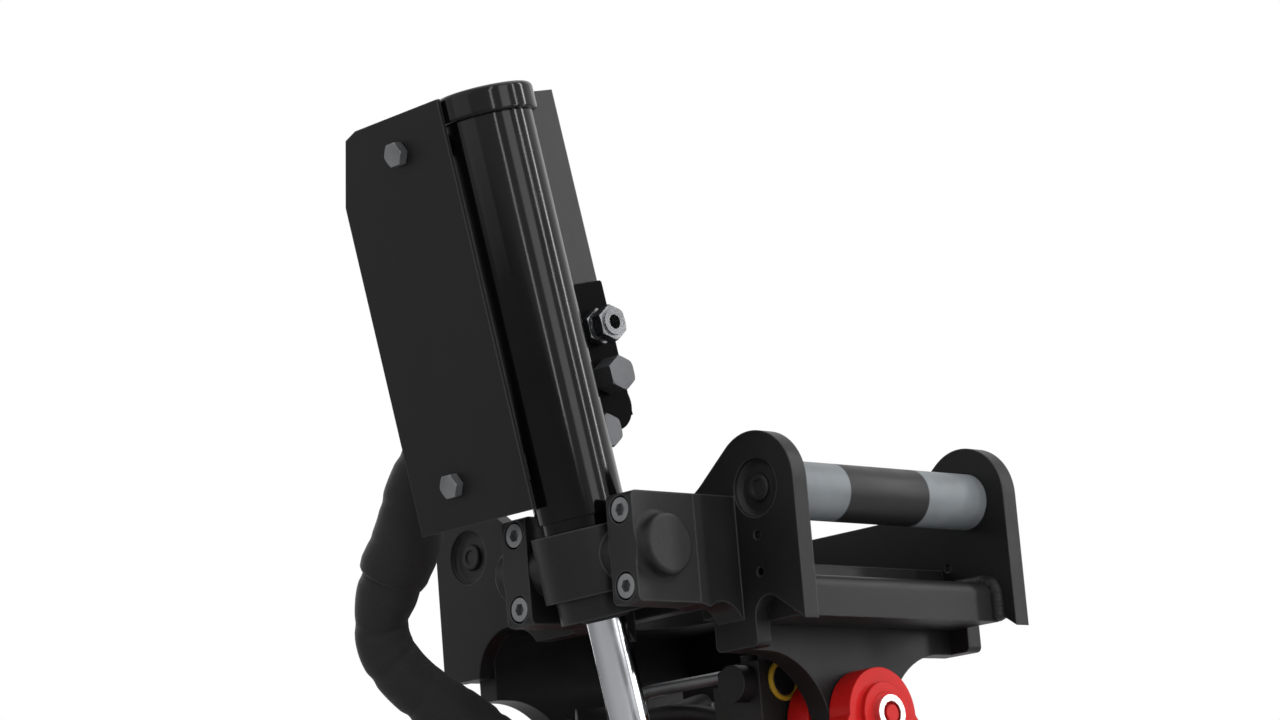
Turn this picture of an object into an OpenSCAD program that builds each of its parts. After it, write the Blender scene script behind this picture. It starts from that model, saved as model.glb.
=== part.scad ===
// Tilt rotator for a small excavator: an upper pin bracket, a rotor housing that tilts under it
// on two short shafts, a single trunnion-mounted tilt cylinder, and a quick hitch that turns below.
// X runs along the tilt axis, Y along the hitch pins, Z up from the surface it stands on.

/* [Hitch pins] */
// Diameter of the two pins that the carrier's hitch grips
pin_d = 40; // [36:1:44]
// Distance between the two pins' axes
pin_pitch = 300; // [290:1:310]
// Clear width between the bracket's side plates
ear_gap = 200; // [192:1:208]
// Distance of the pins' midpoint in front of the rotor's axis
pin_offset = 20; // [12:1:28]
// Depth of each pin's end below the side plate's face
pin_recess = 5; // [3:0.5:8]
// Diameter of the raised centre on each pin's end
pin_button_d = 19; // [12:1:26]

/* [Upper bracket] */
// Thickness of the side plates
plate_t = 13; // [12:0.5:16]
// Radius of the ears round the pins
ear_r = 38; // [34:1:42]
// Reach of the ears past the pins' axes
ear_reach = 36; // [33:1:40]
// Depth of the ears' lower edge below the pins' axes
ear_drop = 90; // [86:1:96]
// Depth of the side plates' feet below the pins' axes
foot_drop = 106; // [102:1:110]
// Depth of the side plates' saddle below the pins' axes
saddle_drop = 2; // [0:0.5:6]
// Slope of the side plates' shoulders, in degrees
shoulder_slope = 38; // [32:1:44]
// Radius of the curve at the foot of each shoulder
shoulder_r = 60; // [40:1:70]
// Thickness of the two tongues
tongue_t = 18; // [15:0.5:20]
// Distance of each tongue's middle from the rotor's axis
tongue_x = 133; // [130:1:137]
// Depth of the tilt axis below the pins' axes
tilt_drop = 152; // [146:1:158]
// Radius of the tongues' round ends
tongue_r = 31; // [29:0.5:33]
// Radius of the hollow curves that lead down to the tongues
tongue_hollow_r = 59; // [52:1:64]
// Height of the cross beams
beam_h = 29; // [24:1:34]
// Depth of the front beam, front to back
beam_w = 42; // [34:1:46]
// Distance of the front beam's face behind the ears' outer edges
beam_setback = 16; // [12:1:20]
// Depth of the rear beam, behind the rear tongue
beam_rear_w = 17; // [12:1:20]
// Thickness of the deck between the side plates
deck_t = 12; // [8:0.5:16]

/* [Trunnion] */
// Distance of the tilt cylinder in front of the rotor's axis
trunnion_x = 83; // [79:1:87]
// Distance of the trunnion's axis from the middle of the part
trunnion_y = 187; // [184:0.5:192]
// Depth of the trunnion's axis below the pins' axes
trunnion_drop = 39.5; // [37:0.5:42]
// Diameter of the trunnion's journals
journal_d = 28; // [24:1:30]
// Length of each journal
journal_l = 24; // [20:1:26]
// Wall of the journals' bushes
bush_wall = 3; // [2:0.5:4]
// Clear width between the two bearing blocks
block_gap = 82; // [80:0.5:86]
// Width of each bearing block along the trunnion's axis
block_w = 25; // [22:0.5:27]
// Height of each bearing block
block_h = 74; // [70:1:80]
// Distance of the bearing blocks' joint face from the trunnion's axis
block_inner = 35; // [30:0.5:40]
// Distance of the bearing blocks' outer face from the trunnion's axis
block_outer = 21.5; // [20:0.5:26]
// Diameter of the round boss on each block's end
boss_d = 41; // [38:1:46]
// Height of the round boss
boss_h = 12; // [9:0.5:14]
// Distance between the two screws of a block
screw_pitch = 51; // [49:0.5:58]
// Diameter of the screws' shanks
screw_d = 10; // [8:0.5:11]

/* [Tilt cylinder] */
// Outward lean of the cylinder at rest, in degrees
lean = 12; // [10:0.5:14]
// Outer diameter of the barrel
barrel_d = 62; // [58:1:66]
// Bore of the barrel
bore_d = 50; // [44:1:52]
// Length of the barrel above the trunnion
barrel_top = 308; // [300:1:320]
// Diameter of the barrel's end cap
cap_d = 70; // [67:1:74]
// Height of the end cap
cap_h = 19; // [14:1:24]
// Diameter of the trunnion collar
collar_d = 74; // [71:1:78]
// Height of the collar above the trunnion's axis
collar_up = 23; // [20:1:26]
// Depth of the collar below the trunnion's axis
collar_down = 22; // [20:1:26]
// Diameter of the rod's gland
gland_d = 60; // [56:1:64]
// Depth of the gland's end below the trunnion's axis
gland_down = 38; // [35:1:44]
// Diameter of the piston rod
rod_d = 27; // [24:1:30]
// Distance from the trunnion's axis to the rod's eye at rest
rod_reach = 215; // [212:0.5:218]
// Outer diameter of the rod's eye
eye_d = 50; // [44:1:54]
// Width of the rod's eye
eye_w = 30; // [26:1:34]
// Diameter of the rod's pin
rod_pin_d = 25; // [20:1:26]

/* [Cylinder guard] */
// Thickness of the guard's sheet
sheet_t = 3; // [2:0.5:4]
// Width of the front guard plate
guard_w = 116; // [110:1:120]
// Height of the guard's lower edge above the trunnion's axis
guard_low = 43; // [43:1:50]
// Height of the guard's upper edge above the trunnion's axis
guard_high = 326; // [318:1:330]
// Distance of the guard's outer face in front of the cylinder's axis
guard_front = 39; // [38.5:0.5:42]
// Distance of the back plate's outer face behind the cylinder's axis
guard_back_y = 76; // [70:1:80]
// Height of the back plate's lower edge above the trunnion's axis
guard_back_low = 188; // [180:1:196]

/* [Rotor housing] */
// Radius of the gear drum
drum_r = 118; // [114:1:120]
// Height of the drum
drum_h = 124; // [118:1:130]
// Depth of the drum's deck below the tilt axis
drum_drop = 18; // [14:1:22]
// Radius of the housing's lugs round the tilt axis
lug_r = 33; // [31:0.5:36]
// Thickness of the housing's lugs
lug_t = 19.5; // [17:0.5:21]
// Side clearance between a lug and a tongue
lug_gap = 1.5; // [1:0.1:2]
// Diameter of the tilt shafts
shaft_d = 30; // [26:1:32]
// Radius of the worm's casing
worm_r = 36; // [32:1:38]
// Distance of the worm's axis from the rotor's axis
worm_y = 105; // [100:1:108]
// Depth of the worm's axis below the tilt axis
worm_drop = 82; // [80:1:86]
// Half length of the worm's casing
worm_half = 92; // [84:1:96]
// Radius of the rotor motor
motor_r = 32; // [28:1:34]
// Length of the rotor motor
motor_l = 66; // [56:1:70]

/* [Lower hitch] */
// Height of the hitch's pin seats above the ground
seat_z = 48; // [46:1:52]
// Thickness of the hitch's side plates
hitch_t = 22; // [18:1:25]
// Width of the hitch over its side plates
hitch_w = 196; // [188:1:199]
// Height of the top plate's upper face
hitch_top = 126; // [122:1:130]
// Thickness of the top plate
hitch_top_t = 18; // [14:1:20]
// Radius of the turning flange
flange_r = 92; // [86:1:98]
// Thickness of the turning flange
flange_t = 10; // [8:0.5:10]
// Radius of the flange's journal in the housing
hub_r = 62; // [56:1:66]
// Travel of the lock bars
lock_travel = 46; // [40:1:50]
// Diameter of the lock bars
lock_d = 20; // [16:1:22]

/* [Fits] */
// Radial clearance of a running fit
run_fit = 0.05; // [0.03:0.01:0.1]
// Radial clearance of a fixed fit
seat_fit = 0.03; // [0.02:0.01:0.06]
// Gap between parts that move past each other
side_gap = 0.5; // [0.3:0.1:0.6]
// Room round the rod's pin, for the play of the tilt linkage
pin_play = 10.5; // [10:0.5:12]

/* [Hidden] */
$fn = 64;
eps = 0.02;
pin_x = pin_pitch / 2;
hub_gap = 2;
tilt_z = hitch_top + flange_t + hub_gap + drum_h + drum_drop;
pin_z = tilt_z + tilt_drop;
plate_y = ear_gap / 2;
trunnion_z = pin_z - trunnion_drop;
drum_z = tilt_z - drum_drop - drum_h;
ear_c = [pin_x + ear_reach - ear_r, 1];
saddle = -saddle_drop;
beam_out = pin_x + ear_reach - beam_setback;
beam_low = -ear_drop + 1;
deck_drop = 57;
edge_drop = 72;
arch_r = 36;
foot_front = [tongue_x - pin_offset - 13, tongue_x - pin_offset + 27];
notch_r = 13;
lug_in = tongue_x - tongue_t / 2 - lug_gap - lug_t;
lug_out = tongue_x + tongue_t / 2 + lug_gap + lug_t;
sin_l = sin(lean);
cos_l = cos(lean);
eye_y = -trunnion_y + rod_reach * sin_l;
eye_z = trunnion_z - rod_reach * cos_l;
play_centre = [-5.2, -7.5];
neck_l = 8;
piston_s = 112;
piston_l = 38;
clevis_t = 19;
clevis_gap = eye_w + 2;
clevis_r = rod_pin_d / 2 + pin_play + 9;
pad_y0 = -plate_y - plate_t;
joint_y = -trunnion_y + block_inner;
block_x = block_gap / 2;
bush_r = journal_d / 2 + bush_wall;
journal_end = block_x + journal_l;
cap_top = barrel_top + cap_h;
bolt_high = [-52, 300];
bolt_low = [-74, 72];
guard_x1 = -3;
sheet_in = -guard_front + sheet_t;
stay_l = 18;
port_x = -4;
port_t = 12;
port_edge = 74;
adapter_s = 156;
guard_x0 = guard_x1 - guard_w;
flange_x = -10;
hook_r = pin_d / 2 + 0.6;
hitch_y = hitch_w / 2;
bolt_head = 7.5;
bolt_ring = hitch_y - hitch_t - bolt_head - 4.5;
hitch_beam_w = 34;
hitch_beam_x = pin_x - hook_r - 7.4 - hitch_beam_w;
lock_x = -pin_x + hook_r + 12;
lock_l = lock_travel + 44;
lock_h = 40;
lock_y = (hitch_y - hitch_t) * 0.55;
lock_z = seat_z - pin_d / 2 - lock_d / 2 - 1.5;
valve_x = 52;
valve_y = -52;
valve_l = 46;
valve_w = 44;
valve_h = 64;
pipe_x = -20;
manifold = [[-97, 46], [85, 29], 72];

// Points that the hose sleeve follows, from the port block round behind the bracket to the housing
sleeve_d = 44;
sleeve_upper = [[66.7, -164.5, 530], [52, -164.5, 530], [35, -176, 527], [15, -192, 516], [-9, -204, 499],
    [-41, -209, 479], [-71, -209, 456], [-98, -207, 428], [-116, -204, 404]];
sleeve_lower = [[-116, -204, 404], [-128, -202, 388], [-134, -196, 366], [-130, -185, 343],
    [-119, -170, 325], [-103, -150, 309], [-86, -126, 294], [-70, -103, 289], [-56, -86, 289]];

function dir(a) = [cos(a), sin(a)];

function unit(v) = v / norm(v);
function ease(p0, p1, p2, p3, t) = 0.5 * (2 * p1 + (p2 - p0) * t + (2 * p0 - 5 * p1 + 4 * p2 - p3) * t * t
    + (3 * p1 - p0 - 3 * p2 + p3) * t * t * t);
function smooth(p, n) = [for (i = [0:len(p) - 2]) for (k = [0:n - 1])
    ease(i == 0 ? 2 * p[0] - p[1] : p[i - 1], p[i], p[i + 1],
        i == len(p) - 2 ? 2 * p[i + 1] - p[i] : p[i + 2], k / n), p[len(p) - 1]];
function heading(p, ends) = [for (i = [0:len(p) - 1])
    i == 0 ? ends[0] : i == len(p) - 1 ? ends[1] : unit(p[i + 1] - p[i - 1])];
function carry(t, n) = len(n) == len(t) ? n
    : carry(t, concat(n, [unit(n[len(n) - 1] - (n[len(n) - 1] * t[len(n)]) * t[len(n)])]));

// A round tube swept along a smooth curve through the given points
module tube(points, d, sides = 10, steps = 2) {
    p = smooth(points, steps);
    n_pts = len(points);
    t = heading(p, [unit(points[1] - points[0]), unit(points[n_pts - 1] - points[n_pts - 2])]);
    n = carry(t, [unit(cross(t[0], [0, 0, 1]))]);
    rings = [for (i = [0:len(p) - 1]) for (k = [0:sides - 1])
        p[i] + d / 2 * (n[i] * cos(k * 360 / sides) + cross(t[i], n[i]) * sin(k * 360 / sides))];
    last = (len(p) - 1) * sides;
    polyhedron(rings, concat(
        [[for (k = [0:sides - 1]) k]],
        [for (i = [0:len(p) - 2]) for (k = [0:sides - 1]) each [
            [i * sides + k, (i + 1) * sides + k, i * sides + (k + 1) % sides],
            [i * sides + (k + 1) % sides, (i + 1) * sides + k, (i + 1) * sides + (k + 1) % sides]]],
        [[for (k = [sides - 1:-1:0]) last + k]]));
}

// The sliver between a corner and the arc that rounds it: added to an inner corner, cut from an outer one
module corner(at, a1, a2, r) {
    half = (a2 - a1) / 2;
    t = r / tan(half);
    difference() {
        polygon([at, at + t * dir(a1), at + t * dir(a2)]);
        translate(at + r / sin(half) * dir((a1 + a2) / 2)) circle(r);
    }
}

// An outline in X and Z, made into a plate between two Y positions
module plate_xz(y0, y1) {
    translate([0, y1, 0]) rotate([90, 0, 0]) linear_extrude(y1 - y0) children();
}

// An outline in Y and Z, made into a plate between two X positions
module plate_yz(x0, x1) {
    translate([x0, 0, 0]) rotate([90, 0, 90]) linear_extrude(x1 - x0) children();
}

module rod_x(x0, x1, r) {
    translate([x0, 0, 0]) rotate([0, 90, 0]) cylinder(r = r, h = x1 - x0);
}

module rod_y(y0, y1, r) {
    translate([0, y1, 0]) rotate([90, 0, 0]) cylinder(r = r, h = y1 - y0);
}

module at_pins() { translate([pin_offset, 0, pin_z]) children(); }
module at_tilt() { translate([0, 0, tilt_z]) children(); }
module at_trunnion() { translate([trunnion_x, -trunnion_y, trunnion_z]) children(); }
module on_cylinder() { at_trunnion() rotate([lean, 0, 0]) children(); }
module at_worm() { translate([0, worm_y, tilt_z - worm_drop]) children(); }
module at_eye() { translate([trunnion_x, eye_y, eye_z]) children(); }
module both_ends() { children(); mirror([1, 0, 0]) children(); }

// Half of a side plate's upper outline: ear, shoulder and saddle, with the pin at [pin_x, 0]
module ear_outline() {
    tangent = ear_c + ear_r * dir(90 + shoulder_slope);
    run = (tangent[1] - saddle) / tan(shoulder_slope);
    shoulder = [tangent[0] - run, saddle];
    translate(ear_c) circle(ear_r);
    polygon([[0, saddle], shoulder, tangent, ear_c, [ear_c[0] + ear_r, ear_c[1]],
        [ear_c[0] + ear_r, -ear_drop], [0, -ear_drop]]);
    corner(shoulder, shoulder_slope, 180, shoulder_r);
}

// The front foot, and the notch between it and the ear's lower corner
module front_notch() {
    c = [foot_front[1] + notch_r, -ear_drop + 3.5];
    slant = 34.6;
    top = c + notch_r * dir(90 - slant);
    far = 60;
    translate(c) circle(notch_r);
    polygon([c - [notch_r, 0], c + [0, 0.5 * notch_r], top, top + far * dir(-slant),
        [c[0] + far, -foot_drop - far], [foot_front[1], -foot_drop - far]]);
}

// What is cut from the near plate alone: its raised lower edge and the arch that the hoses pass under
module edge_cuts() {
    arch = [-pin_x + 39, -ear_drop - 3];
    inner_r = 10;
    translate(arch) circle(arch_r);
    deep = foot_drop + 14;
    translate([arch[0], -deep]) square([foot_front[0] - arch[0] - inner_r, deep - edge_drop]);
    translate([foot_front[0] - 2 * inner_r, -deep]) square([2 * inner_r, deep - edge_drop - inner_r]);
    translate([foot_front[0] - 2 * inner_r, -edge_drop - inner_r]) circle(inner_r);
}

// What is cut from both side plates: the front notch, the corners, the pins' holes and the small holes
module side_cuts(holes) {
    front_notch();
    corner([-ear_c[0] - ear_r, -ear_drop], 0, 90, 9);
    corner([foot_front[0], -foot_drop], 0, 90, 5);
    corner([foot_front[1], -foot_drop], 90, 180, 4);
    for (x = [-pin_x, pin_x]) translate([x, 0]) circle(pin_d / 2 + seat_fit);
    for (h = holes) translate(h) circle(3);
}

module side_plate(y0, holes, raised) {
    y1 = y0 + plate_t;
    difference() {
        union() {
            plate_xz(y0, y1) ear_outline();
            plate_xz(y0, y1) mirror([1, 0]) ear_outline();
            plate_xz(y0, y1) translate([foot_front[0], -foot_drop])
                square([ear_c[0] + ear_r - foot_front[0], foot_drop - ear_drop + 10]);
        }
        plate_xz(y0 - 1, y1 + 1) {
            side_cuts(holes);
            if (raised) edge_cuts();
        }
    }
}

// A cast pad that carries a bearing block, arched underneath
module pad(x0) {
    low = -trunnion_drop - block_h / 2;
    high = low + block_h;
    translate([x0, 0, 0]) difference() {
        rotate([90, 0, 90]) linear_extrude(block_w) difference() {
            polygon([[joint_y, high], [pad_y0, high], [pad_y0, low - 10], [pad_y0 - 9, low - 8],
                [joint_y, low]]);
            translate([joint_y + 20, low - 17]) circle(18.5);
        }
        for (z = [-1, 1]) translate([block_w / 2, 0, -trunnion_drop + z * screw_pitch / 2])
            rod_y(joint_y - eps, pad_y0 - 8, screw_d / 2 + seat_fit);
    }
}

module side_plate_near() {
    color("#2b2c2e") at_pins() {
        side_plate(-plate_y - plate_t, [[pin_x - 2, -32], [pin_x - 2, -57]], true);
        for (side = [-1, 1]) pad(trunnion_x - pin_offset + side * (block_x + block_w / 2) - block_w / 2);
    }
}

module side_plate_far() {
    color("#2b2c2e") at_pins() side_plate(plate_y, [[pin_x - 23, -44]], false);
}

// A tongue's outline: a web between the side plates, drawn in by two hollows to a round end
module tongue_outline(web_top) {
    low = tilt_drop - foot_drop;
    hollow_c = [tongue_r - 2 + tongue_hollow_r, low - tongue_hollow_r];
    difference() {
        union() {
            translate([-plate_y, low]) square([ear_gap, tilt_drop - web_top - low]);
            translate([-hollow_c[0], hollow_c[1]]) square([2 * hollow_c[0], tongue_hollow_r]);
            translate([-tongue_r, 0]) square([2 * tongue_r, low]);
            circle(tongue_r);
        }
        for (side = [-1, 1]) translate([side * hollow_c[0], hollow_c[1]]) circle(tongue_hollow_r);
        for (side = [-1, 1]) translate([side * (hollow_c[0] + tongue_r / 2), hollow_c[1] - eps])
            square([tongue_r + 2 * eps, 2 * tongue_hollow_r - 2 * eps], center = true);
        circle(shaft_d / 2 + bush_wall + seat_fit);
    }
}

module tongue(x) {
    at_tilt() plate_yz(x - tongue_t / 2, x + tongue_t / 2) tongue_outline(deck_drop - deck_t);
}

module tongue_front() { color("#303134") tongue(tongue_x); }
module tongue_rear() { color("#303134") tongue(-tongue_x); }

module tilt_bush(x) {
    at_tilt() difference() {
        rod_x(x - tongue_t / 2, x + tongue_t / 2, shaft_d / 2 + bush_wall);
        rod_x(x - tongue_t, x + tongue_t, shaft_d / 2 + run_fit);
    }
}

module tilt_bush_front() { color("#b08d4a") tilt_bush(tongue_x); }
module tilt_bush_rear() { color("#b08d4a") tilt_bush(-tongue_x); }

// A beam between the ears, the given upper edges rounded
module beam(x0, x1, r0, r1) {
    at_pins() plate_xz(-plate_y, plate_y) difference() {
        translate([x0, beam_low]) square([x1 - x0, beam_h]);
        if (r0 > 0) corner([x0, beam_low + beam_h], 270, 360, r0);
        if (r1 > 0) corner([x1, beam_low + beam_h], 180, 270, r1);
    }
}

module beam_front() { color("#333437") beam(beam_out - beam_w, beam_out, 9, 9); }

// The rear beam stands against the rear tongue's outer face
module beam_rear() {
    face = -tongue_x - tongue_t / 2 - pin_offset;
    color("#333437") beam(face - beam_rear_w, face, 9, 0);
}

// The deck that ties the side plates together over the rotor, with an oblong opening
module deck() {
    x0 = -tongue_x + tongue_t / 2;
    x1 = tongue_x - tongue_t / 2;
    color("#2b2c2e") translate([0, 0, pin_z - deck_drop]) linear_extrude(deck_t) difference() {
        translate([x0, -plate_y]) square([x1 - x0, ear_gap]);
        for (x = [-45, 45]) translate([x, 0]) circle(45);
        translate([-45, -45]) square([90, 90]);
    }
}

// One end of a pin: dished inside its hole, with a raised button that has a hollow centre
module pin_end() {
    r = pin_d / 2;
    button = pin_button_d / 2;
    rotate([-90, 0, 0]) translate([0, 0, plate_y + plate_t - pin_recess]) rotate_extrude() {
        corner([r, 0], 90, 180, pin_recess - 0.5);
        difference() {
            square([button, 3]);
            corner([button, 3], 180, 270, 1.5);
            translate([0, 2]) square([button * 0.55, 2]);
        }
    }
}

// A pin set into both ears
module hitch_pin() {
    end = plate_y + plate_t - pin_recess;
    at_pins() {
        rod_y(-end, end, pin_d / 2);
        pin_end();
        mirror([0, 1, 0]) pin_end();
    }
}

module pin_front() { color("#7d8489") translate([pin_x, 0, 0]) hitch_pin(); }
module pin_rear() { color("#7d8489") translate([-pin_x, 0, 0]) hitch_pin(); }

// A trunnion bearing block, bored blind from its inner side and bolted on from outside
module bearing_block() {
    r_edge = 4;
    y0 = -block_outer;
    difference() {
        union() {
            plate_yz(block_x, block_x + block_w) difference() {
                translate([y0, -block_h / 2]) square([block_outer + block_inner, block_h]);
                corner([y0, block_h / 2], 270, 360, r_edge);
                corner([y0, -block_h / 2], 0, 90, r_edge);
            }
            translate([block_x + block_w, 0, 0]) rotate([0, 90, 0]) rotate_extrude() {
                difference() {
                    square([boss_d / 2, boss_h]);
                    corner([boss_d / 2, boss_h], 180, 270, 2.5);
                }
                corner([boss_d / 2, 0], 0, 90, 4.5);
            }
        }
        translate([block_x, -block_outer - 40, -block_h]) cube([block_w + boss_h * 2, 40, 2 * block_h]);
        rod_x(block_x - eps, journal_end + 2, bush_r + seat_fit);
        for (z = [-1, 1]) translate([block_x + block_w / 2, 0, z * screw_pitch / 2]) {
            rod_y(-block_outer - eps, block_inner + eps, screw_d / 2 + seat_fit);
            rod_y(-block_outer - eps, -block_outer + 8, screw_d * 0.95);
        }
    }
}

module block_front() { color("#2d2e30") at_trunnion() bearing_block(); }
module block_rear() { color("#2d2e30") at_trunnion() mirror([1, 0, 0]) bearing_block(); }

module trunnion_bush() {
    difference() {
        rod_x(block_x, journal_end + 1, bush_r);
        rod_x(block_x - 1, journal_end + 2, journal_d / 2 + run_fit);
    }
}

module trunnion_bush_front() { color("#b08d4a") at_trunnion() trunnion_bush(); }
module trunnion_bush_rear() { color("#b08d4a") at_trunnion() mirror([1, 0, 0]) trunnion_bush(); }

// Socket head screws that hold the bearing blocks
module block_screws() {
    color("#9aa0a4") at_trunnion() for (side = [-1, 1]) for (z = [-1, 1])
        translate([side * (block_x + block_w / 2), 0, z * screw_pitch / 2]) difference() {
            union() {
                rod_y(-block_outer + 8, block_inner + 26, screw_d / 2);
                rod_y(-block_outer + 0.5, -block_outer + 8, screw_d * 0.82);
            }
            rotate([90, 0, 0]) translate([0, 0, block_outer - 5])
                cylinder(d = screw_d * 0.9, h = 6, $fn = 6);
        }
}

// The barrel is a tube, necked just above the collar
module barrel() {
    color("#141517") on_cylinder() rotate_extrude() {
        translate([bore_d / 2, collar_up]) square([(barrel_d - bore_d) / 2 - 2, 8]);
        translate([bore_d / 2, collar_up + 8]) square([(barrel_d - bore_d) / 2, barrel_top - collar_up - 8]);
    }
}

// The end cap has a rounded rim, and a spigot in the bore
module end_cap() {
    r = cap_d / 2;
    color("#18191b") on_cylinder() rotate_extrude() {
        difference() {
            translate([0, barrel_top]) square([r, cap_h]);
            corner([r, cap_top], 180, 270, 4);
            corner([r, barrel_top], 90, 180, 2);
        }
        translate([0, barrel_top - 14]) square([bore_d / 2 - seat_fit, 14]);
    }
}

// The collar carries the barrel, with a journal on either side
module collar() {
    h = collar_up + collar_down;
    color("#1d1e20") difference() {
        union() {
            on_cylinder() translate([0, 0, -collar_down]) cylinder(d = collar_d, h = h);
            at_trunnion() rod_x(-block_x + side_gap, block_x - side_gap, bush_r + 4);
            at_trunnion() rod_x(-journal_end, journal_end, journal_d / 2);
        }
        on_cylinder() translate([0, 0, -collar_down - 1]) cylinder(d = bore_d, h = h + 2);
    }
}

// The gland screws into the collar from below and guides the rod
module gland() {
    color("#1a1b1d") on_cylinder() difference() {
        union() {
            translate([0, 0, -gland_down]) cylinder(d = gland_d, h = gland_down - collar_down);
            translate([0, 0, -collar_down]) cylinder(d = bore_d - 2 * seat_fit, h = collar_down - 5);
        }
        translate([0, 0, -gland_down - 1]) cylinder(d = rod_d + 2 * run_fit, h = gland_down + 30);
        translate([0, 0, -gland_down - eps]) cylinder(d1 = rod_d + 7, d2 = rod_d + 1, h = 3);
    }
}

// The front guard plate: a flat sheet beside the barrel with one corner taken off
module guard_front_plate() {
    color("#26272a") on_cylinder() plate_xz(-guard_front, sheet_in) difference() {
        polygon([[guard_x0, guard_low], [guard_x1, guard_low], [guard_x1, guard_high],
            [guard_x0 + 28, guard_high], [guard_x0 + 16, guard_high - 4], [guard_x0, guard_high - 48]]);
        for (b = [bolt_high, bolt_low]) translate(b) circle(5 + seat_fit);
    }
}

// The back plate is folded: a flange welded along the barrel, and a sheet behind the hoses
module guard_back_plate() {
    y_weld = sqrt(pow(barrel_d / 2, 2) - pow(flange_x - sheet_t, 2)) - 1;
    color("#3a3b3e") on_cylinder() difference() {
        union() {
            translate([flange_x - sheet_t, y_weld, guard_back_low])
                cube([sheet_t, guard_back_y - y_weld, guard_high - guard_back_low]);
            plate_xz(guard_back_y - sheet_t, guard_back_y) polygon([[guard_x0 + 30, guard_back_low],
                [flange_x, guard_back_low], [flange_x, guard_high], [guard_x0 + 52, guard_high],
                [guard_x0 + 30, guard_high - 46]]);
        }
        translate([0, 0, guard_back_low - 1]) cylinder(d = barrel_d + 2 * seat_fit, h = guard_high);
        translate([0, 0, barrel_top - side_gap]) cylinder(d = cap_d + 2 * side_gap, h = guard_high);
        translate([bolt_high[0], 0, bolt_high[1]]) rod_y(0, guard_back_y + 1, 5 + seat_fit);
    }
}

// Spacer tubes between the guard's plates, and a stay from the barrel to the lower bolt
module guard_spacers() {
    color("#2a2b2d") on_cylinder() {
        translate([bolt_high[0], 0, bolt_high[1]]) difference() {
            rod_y(sheet_in, guard_back_y - sheet_t, 8);
            rod_y(-guard_front, guard_back_y, 5 + seat_fit);
        }
        difference() {
            union() {
                translate([bolt_low[0], 0, bolt_low[1]]) rod_y(sheet_in, sheet_in + stay_l, 9);
                translate([bolt_low[0], sheet_in + 6, bolt_low[1] - 9]) cube([-bolt_low[0], 6, 18]);
            }
            translate([bolt_low[0], 0, bolt_low[1]]) rod_y(-guard_front, 0, 5 + seat_fit);
            cylinder(d = barrel_d + 2 * seat_fit, h = guard_high);
        }
    }
}

// Hex head bolts through the guard's plates
// A hexagon with its corners turned down at the outer end
module hex_head(r, h) {
    flat = 0.9 * r;
    intersection() {
        cylinder(r = r, h = h, $fn = 6);
        cylinder(r1 = flat + h * 1.6, r2 = flat, h = h);
    }
}

module hex_x(r, h) { rotate([0, 90, 0]) hex_head(r, h); }

module guard_bolts() {
    color("#a3a8ab") on_cylinder() for (b = [[bolt_high, guard_back_y], [bolt_low, sheet_in + stay_l]])
        translate([b[0][0], 0, b[0][1]]) {
            rod_y(-guard_front, b[1], 5);
            translate([0, -guard_front, 0]) rotate([90, 0, 0]) hex_head(9, 6.5);
            translate([0, b[1] + 6.5, 0]) rotate([90, 0, 0]) cylinder(r = 9, h = 6.5, $fn = 6);
        }
}

// The port block stands behind the barrel, under the back plate, with a rounded lower lobe
module port_block() {
    color("#1c1d1f") on_cylinder() difference() {
        plate_yz(port_x - port_t, port_x) difference() {
            union() {
                translate([24, 92]) square([port_edge - 24, guard_back_low - 92]);
                translate([port_edge - 16.5, 101]) circle(17.5);
                translate([24, 78]) square([28, 30]);
            }
            corner([port_edge, guard_back_low], 180, 270, 2);
        }
        translate([0, 0, 60]) cylinder(d = barrel_d + 2 * seat_fit, h = 200);
        translate([0, 58, adapter_s]) rod_x(port_x - 8, port_x + 1, 7);
    }
}

// A hex hose adapter, open at its end
module port_adapter() {
    color("#b9bdc0") on_cylinder() translate([port_x, 58, adapter_s]) difference() {
        union() {
            hex_x(13, 6);
            rod_x(5, 11, 9.5);
            translate([10, 0, 0]) hex_x(13, 8.5);
            rod_x(18, 20, 9);
        }
        rod_x(4, 40, 5);
    }
}

// Hex plugs that close the block's other ports
module port_plugs() {
    color("#aab0b4") on_cylinder() {
        translate([port_x, 57, 121]) hex_x(12.5, 17);
        translate([port_x, 42, 84.5]) hex_x(12, 8);
    }
}

// The rod runs from its eye into the barrel
module rod() {
    foot = eye_d / 2 + neck_l - rod_reach;
    color("#d5d8da") on_cylinder() translate([0, 0, foot])
        cylinder(d = rod_d, h = piston_s + piston_l - foot);
}

module piston() {
    ring = 2;
    color("#7a7f83") on_cylinder() difference() {
        translate([0, 0, piston_s]) cylinder(d = bore_d - 2 * run_fit, h = piston_l);
        translate([0, 0, piston_s - 1]) cylinder(d = rod_d + 2 * seat_fit, h = piston_l + 2);
        for (z = [6, 17, 28]) translate([0, 0, piston_s + z]) difference() {
            cylinder(d = bore_d + 4, h = 4);
            translate([0, 0, -1]) cylinder(d = bore_d - 2 * ring, h = 6);
        }
    }
}

// The eye is a ring with a neck that the rod screws into
module rod_eye() {
    neck_d = min(rod_d + 2, eye_w - 1);
    color("#3a3c3f") difference() {
        union() {
            at_eye() rod_x(-eye_w / 2, eye_w / 2, eye_d / 2);
            on_cylinder() translate([0, 0, -rod_reach]) cylinder(d = neck_d, h = eye_d / 2 + neck_l);
        }
        at_eye() rod_x(-eye_w, eye_w, rod_pin_d / 2 + seat_fit);
    }
}

module rod_pin() {
    l = clevis_gap / 2 + clevis_t - 8;
    color("#888d91") at_eye() rod_x(-l, l, rod_pin_d / 2);
}

// One lug of a fork, drawn about the tilt axis
module lug_outline() {
    base = -(drum_drop + 64);
    circle(lug_r);
    polygon([[-lug_r, 0], [lug_r, 0], [66, base + 34], [66, base], [-66, base], [-66, base + 34]]);
}

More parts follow.
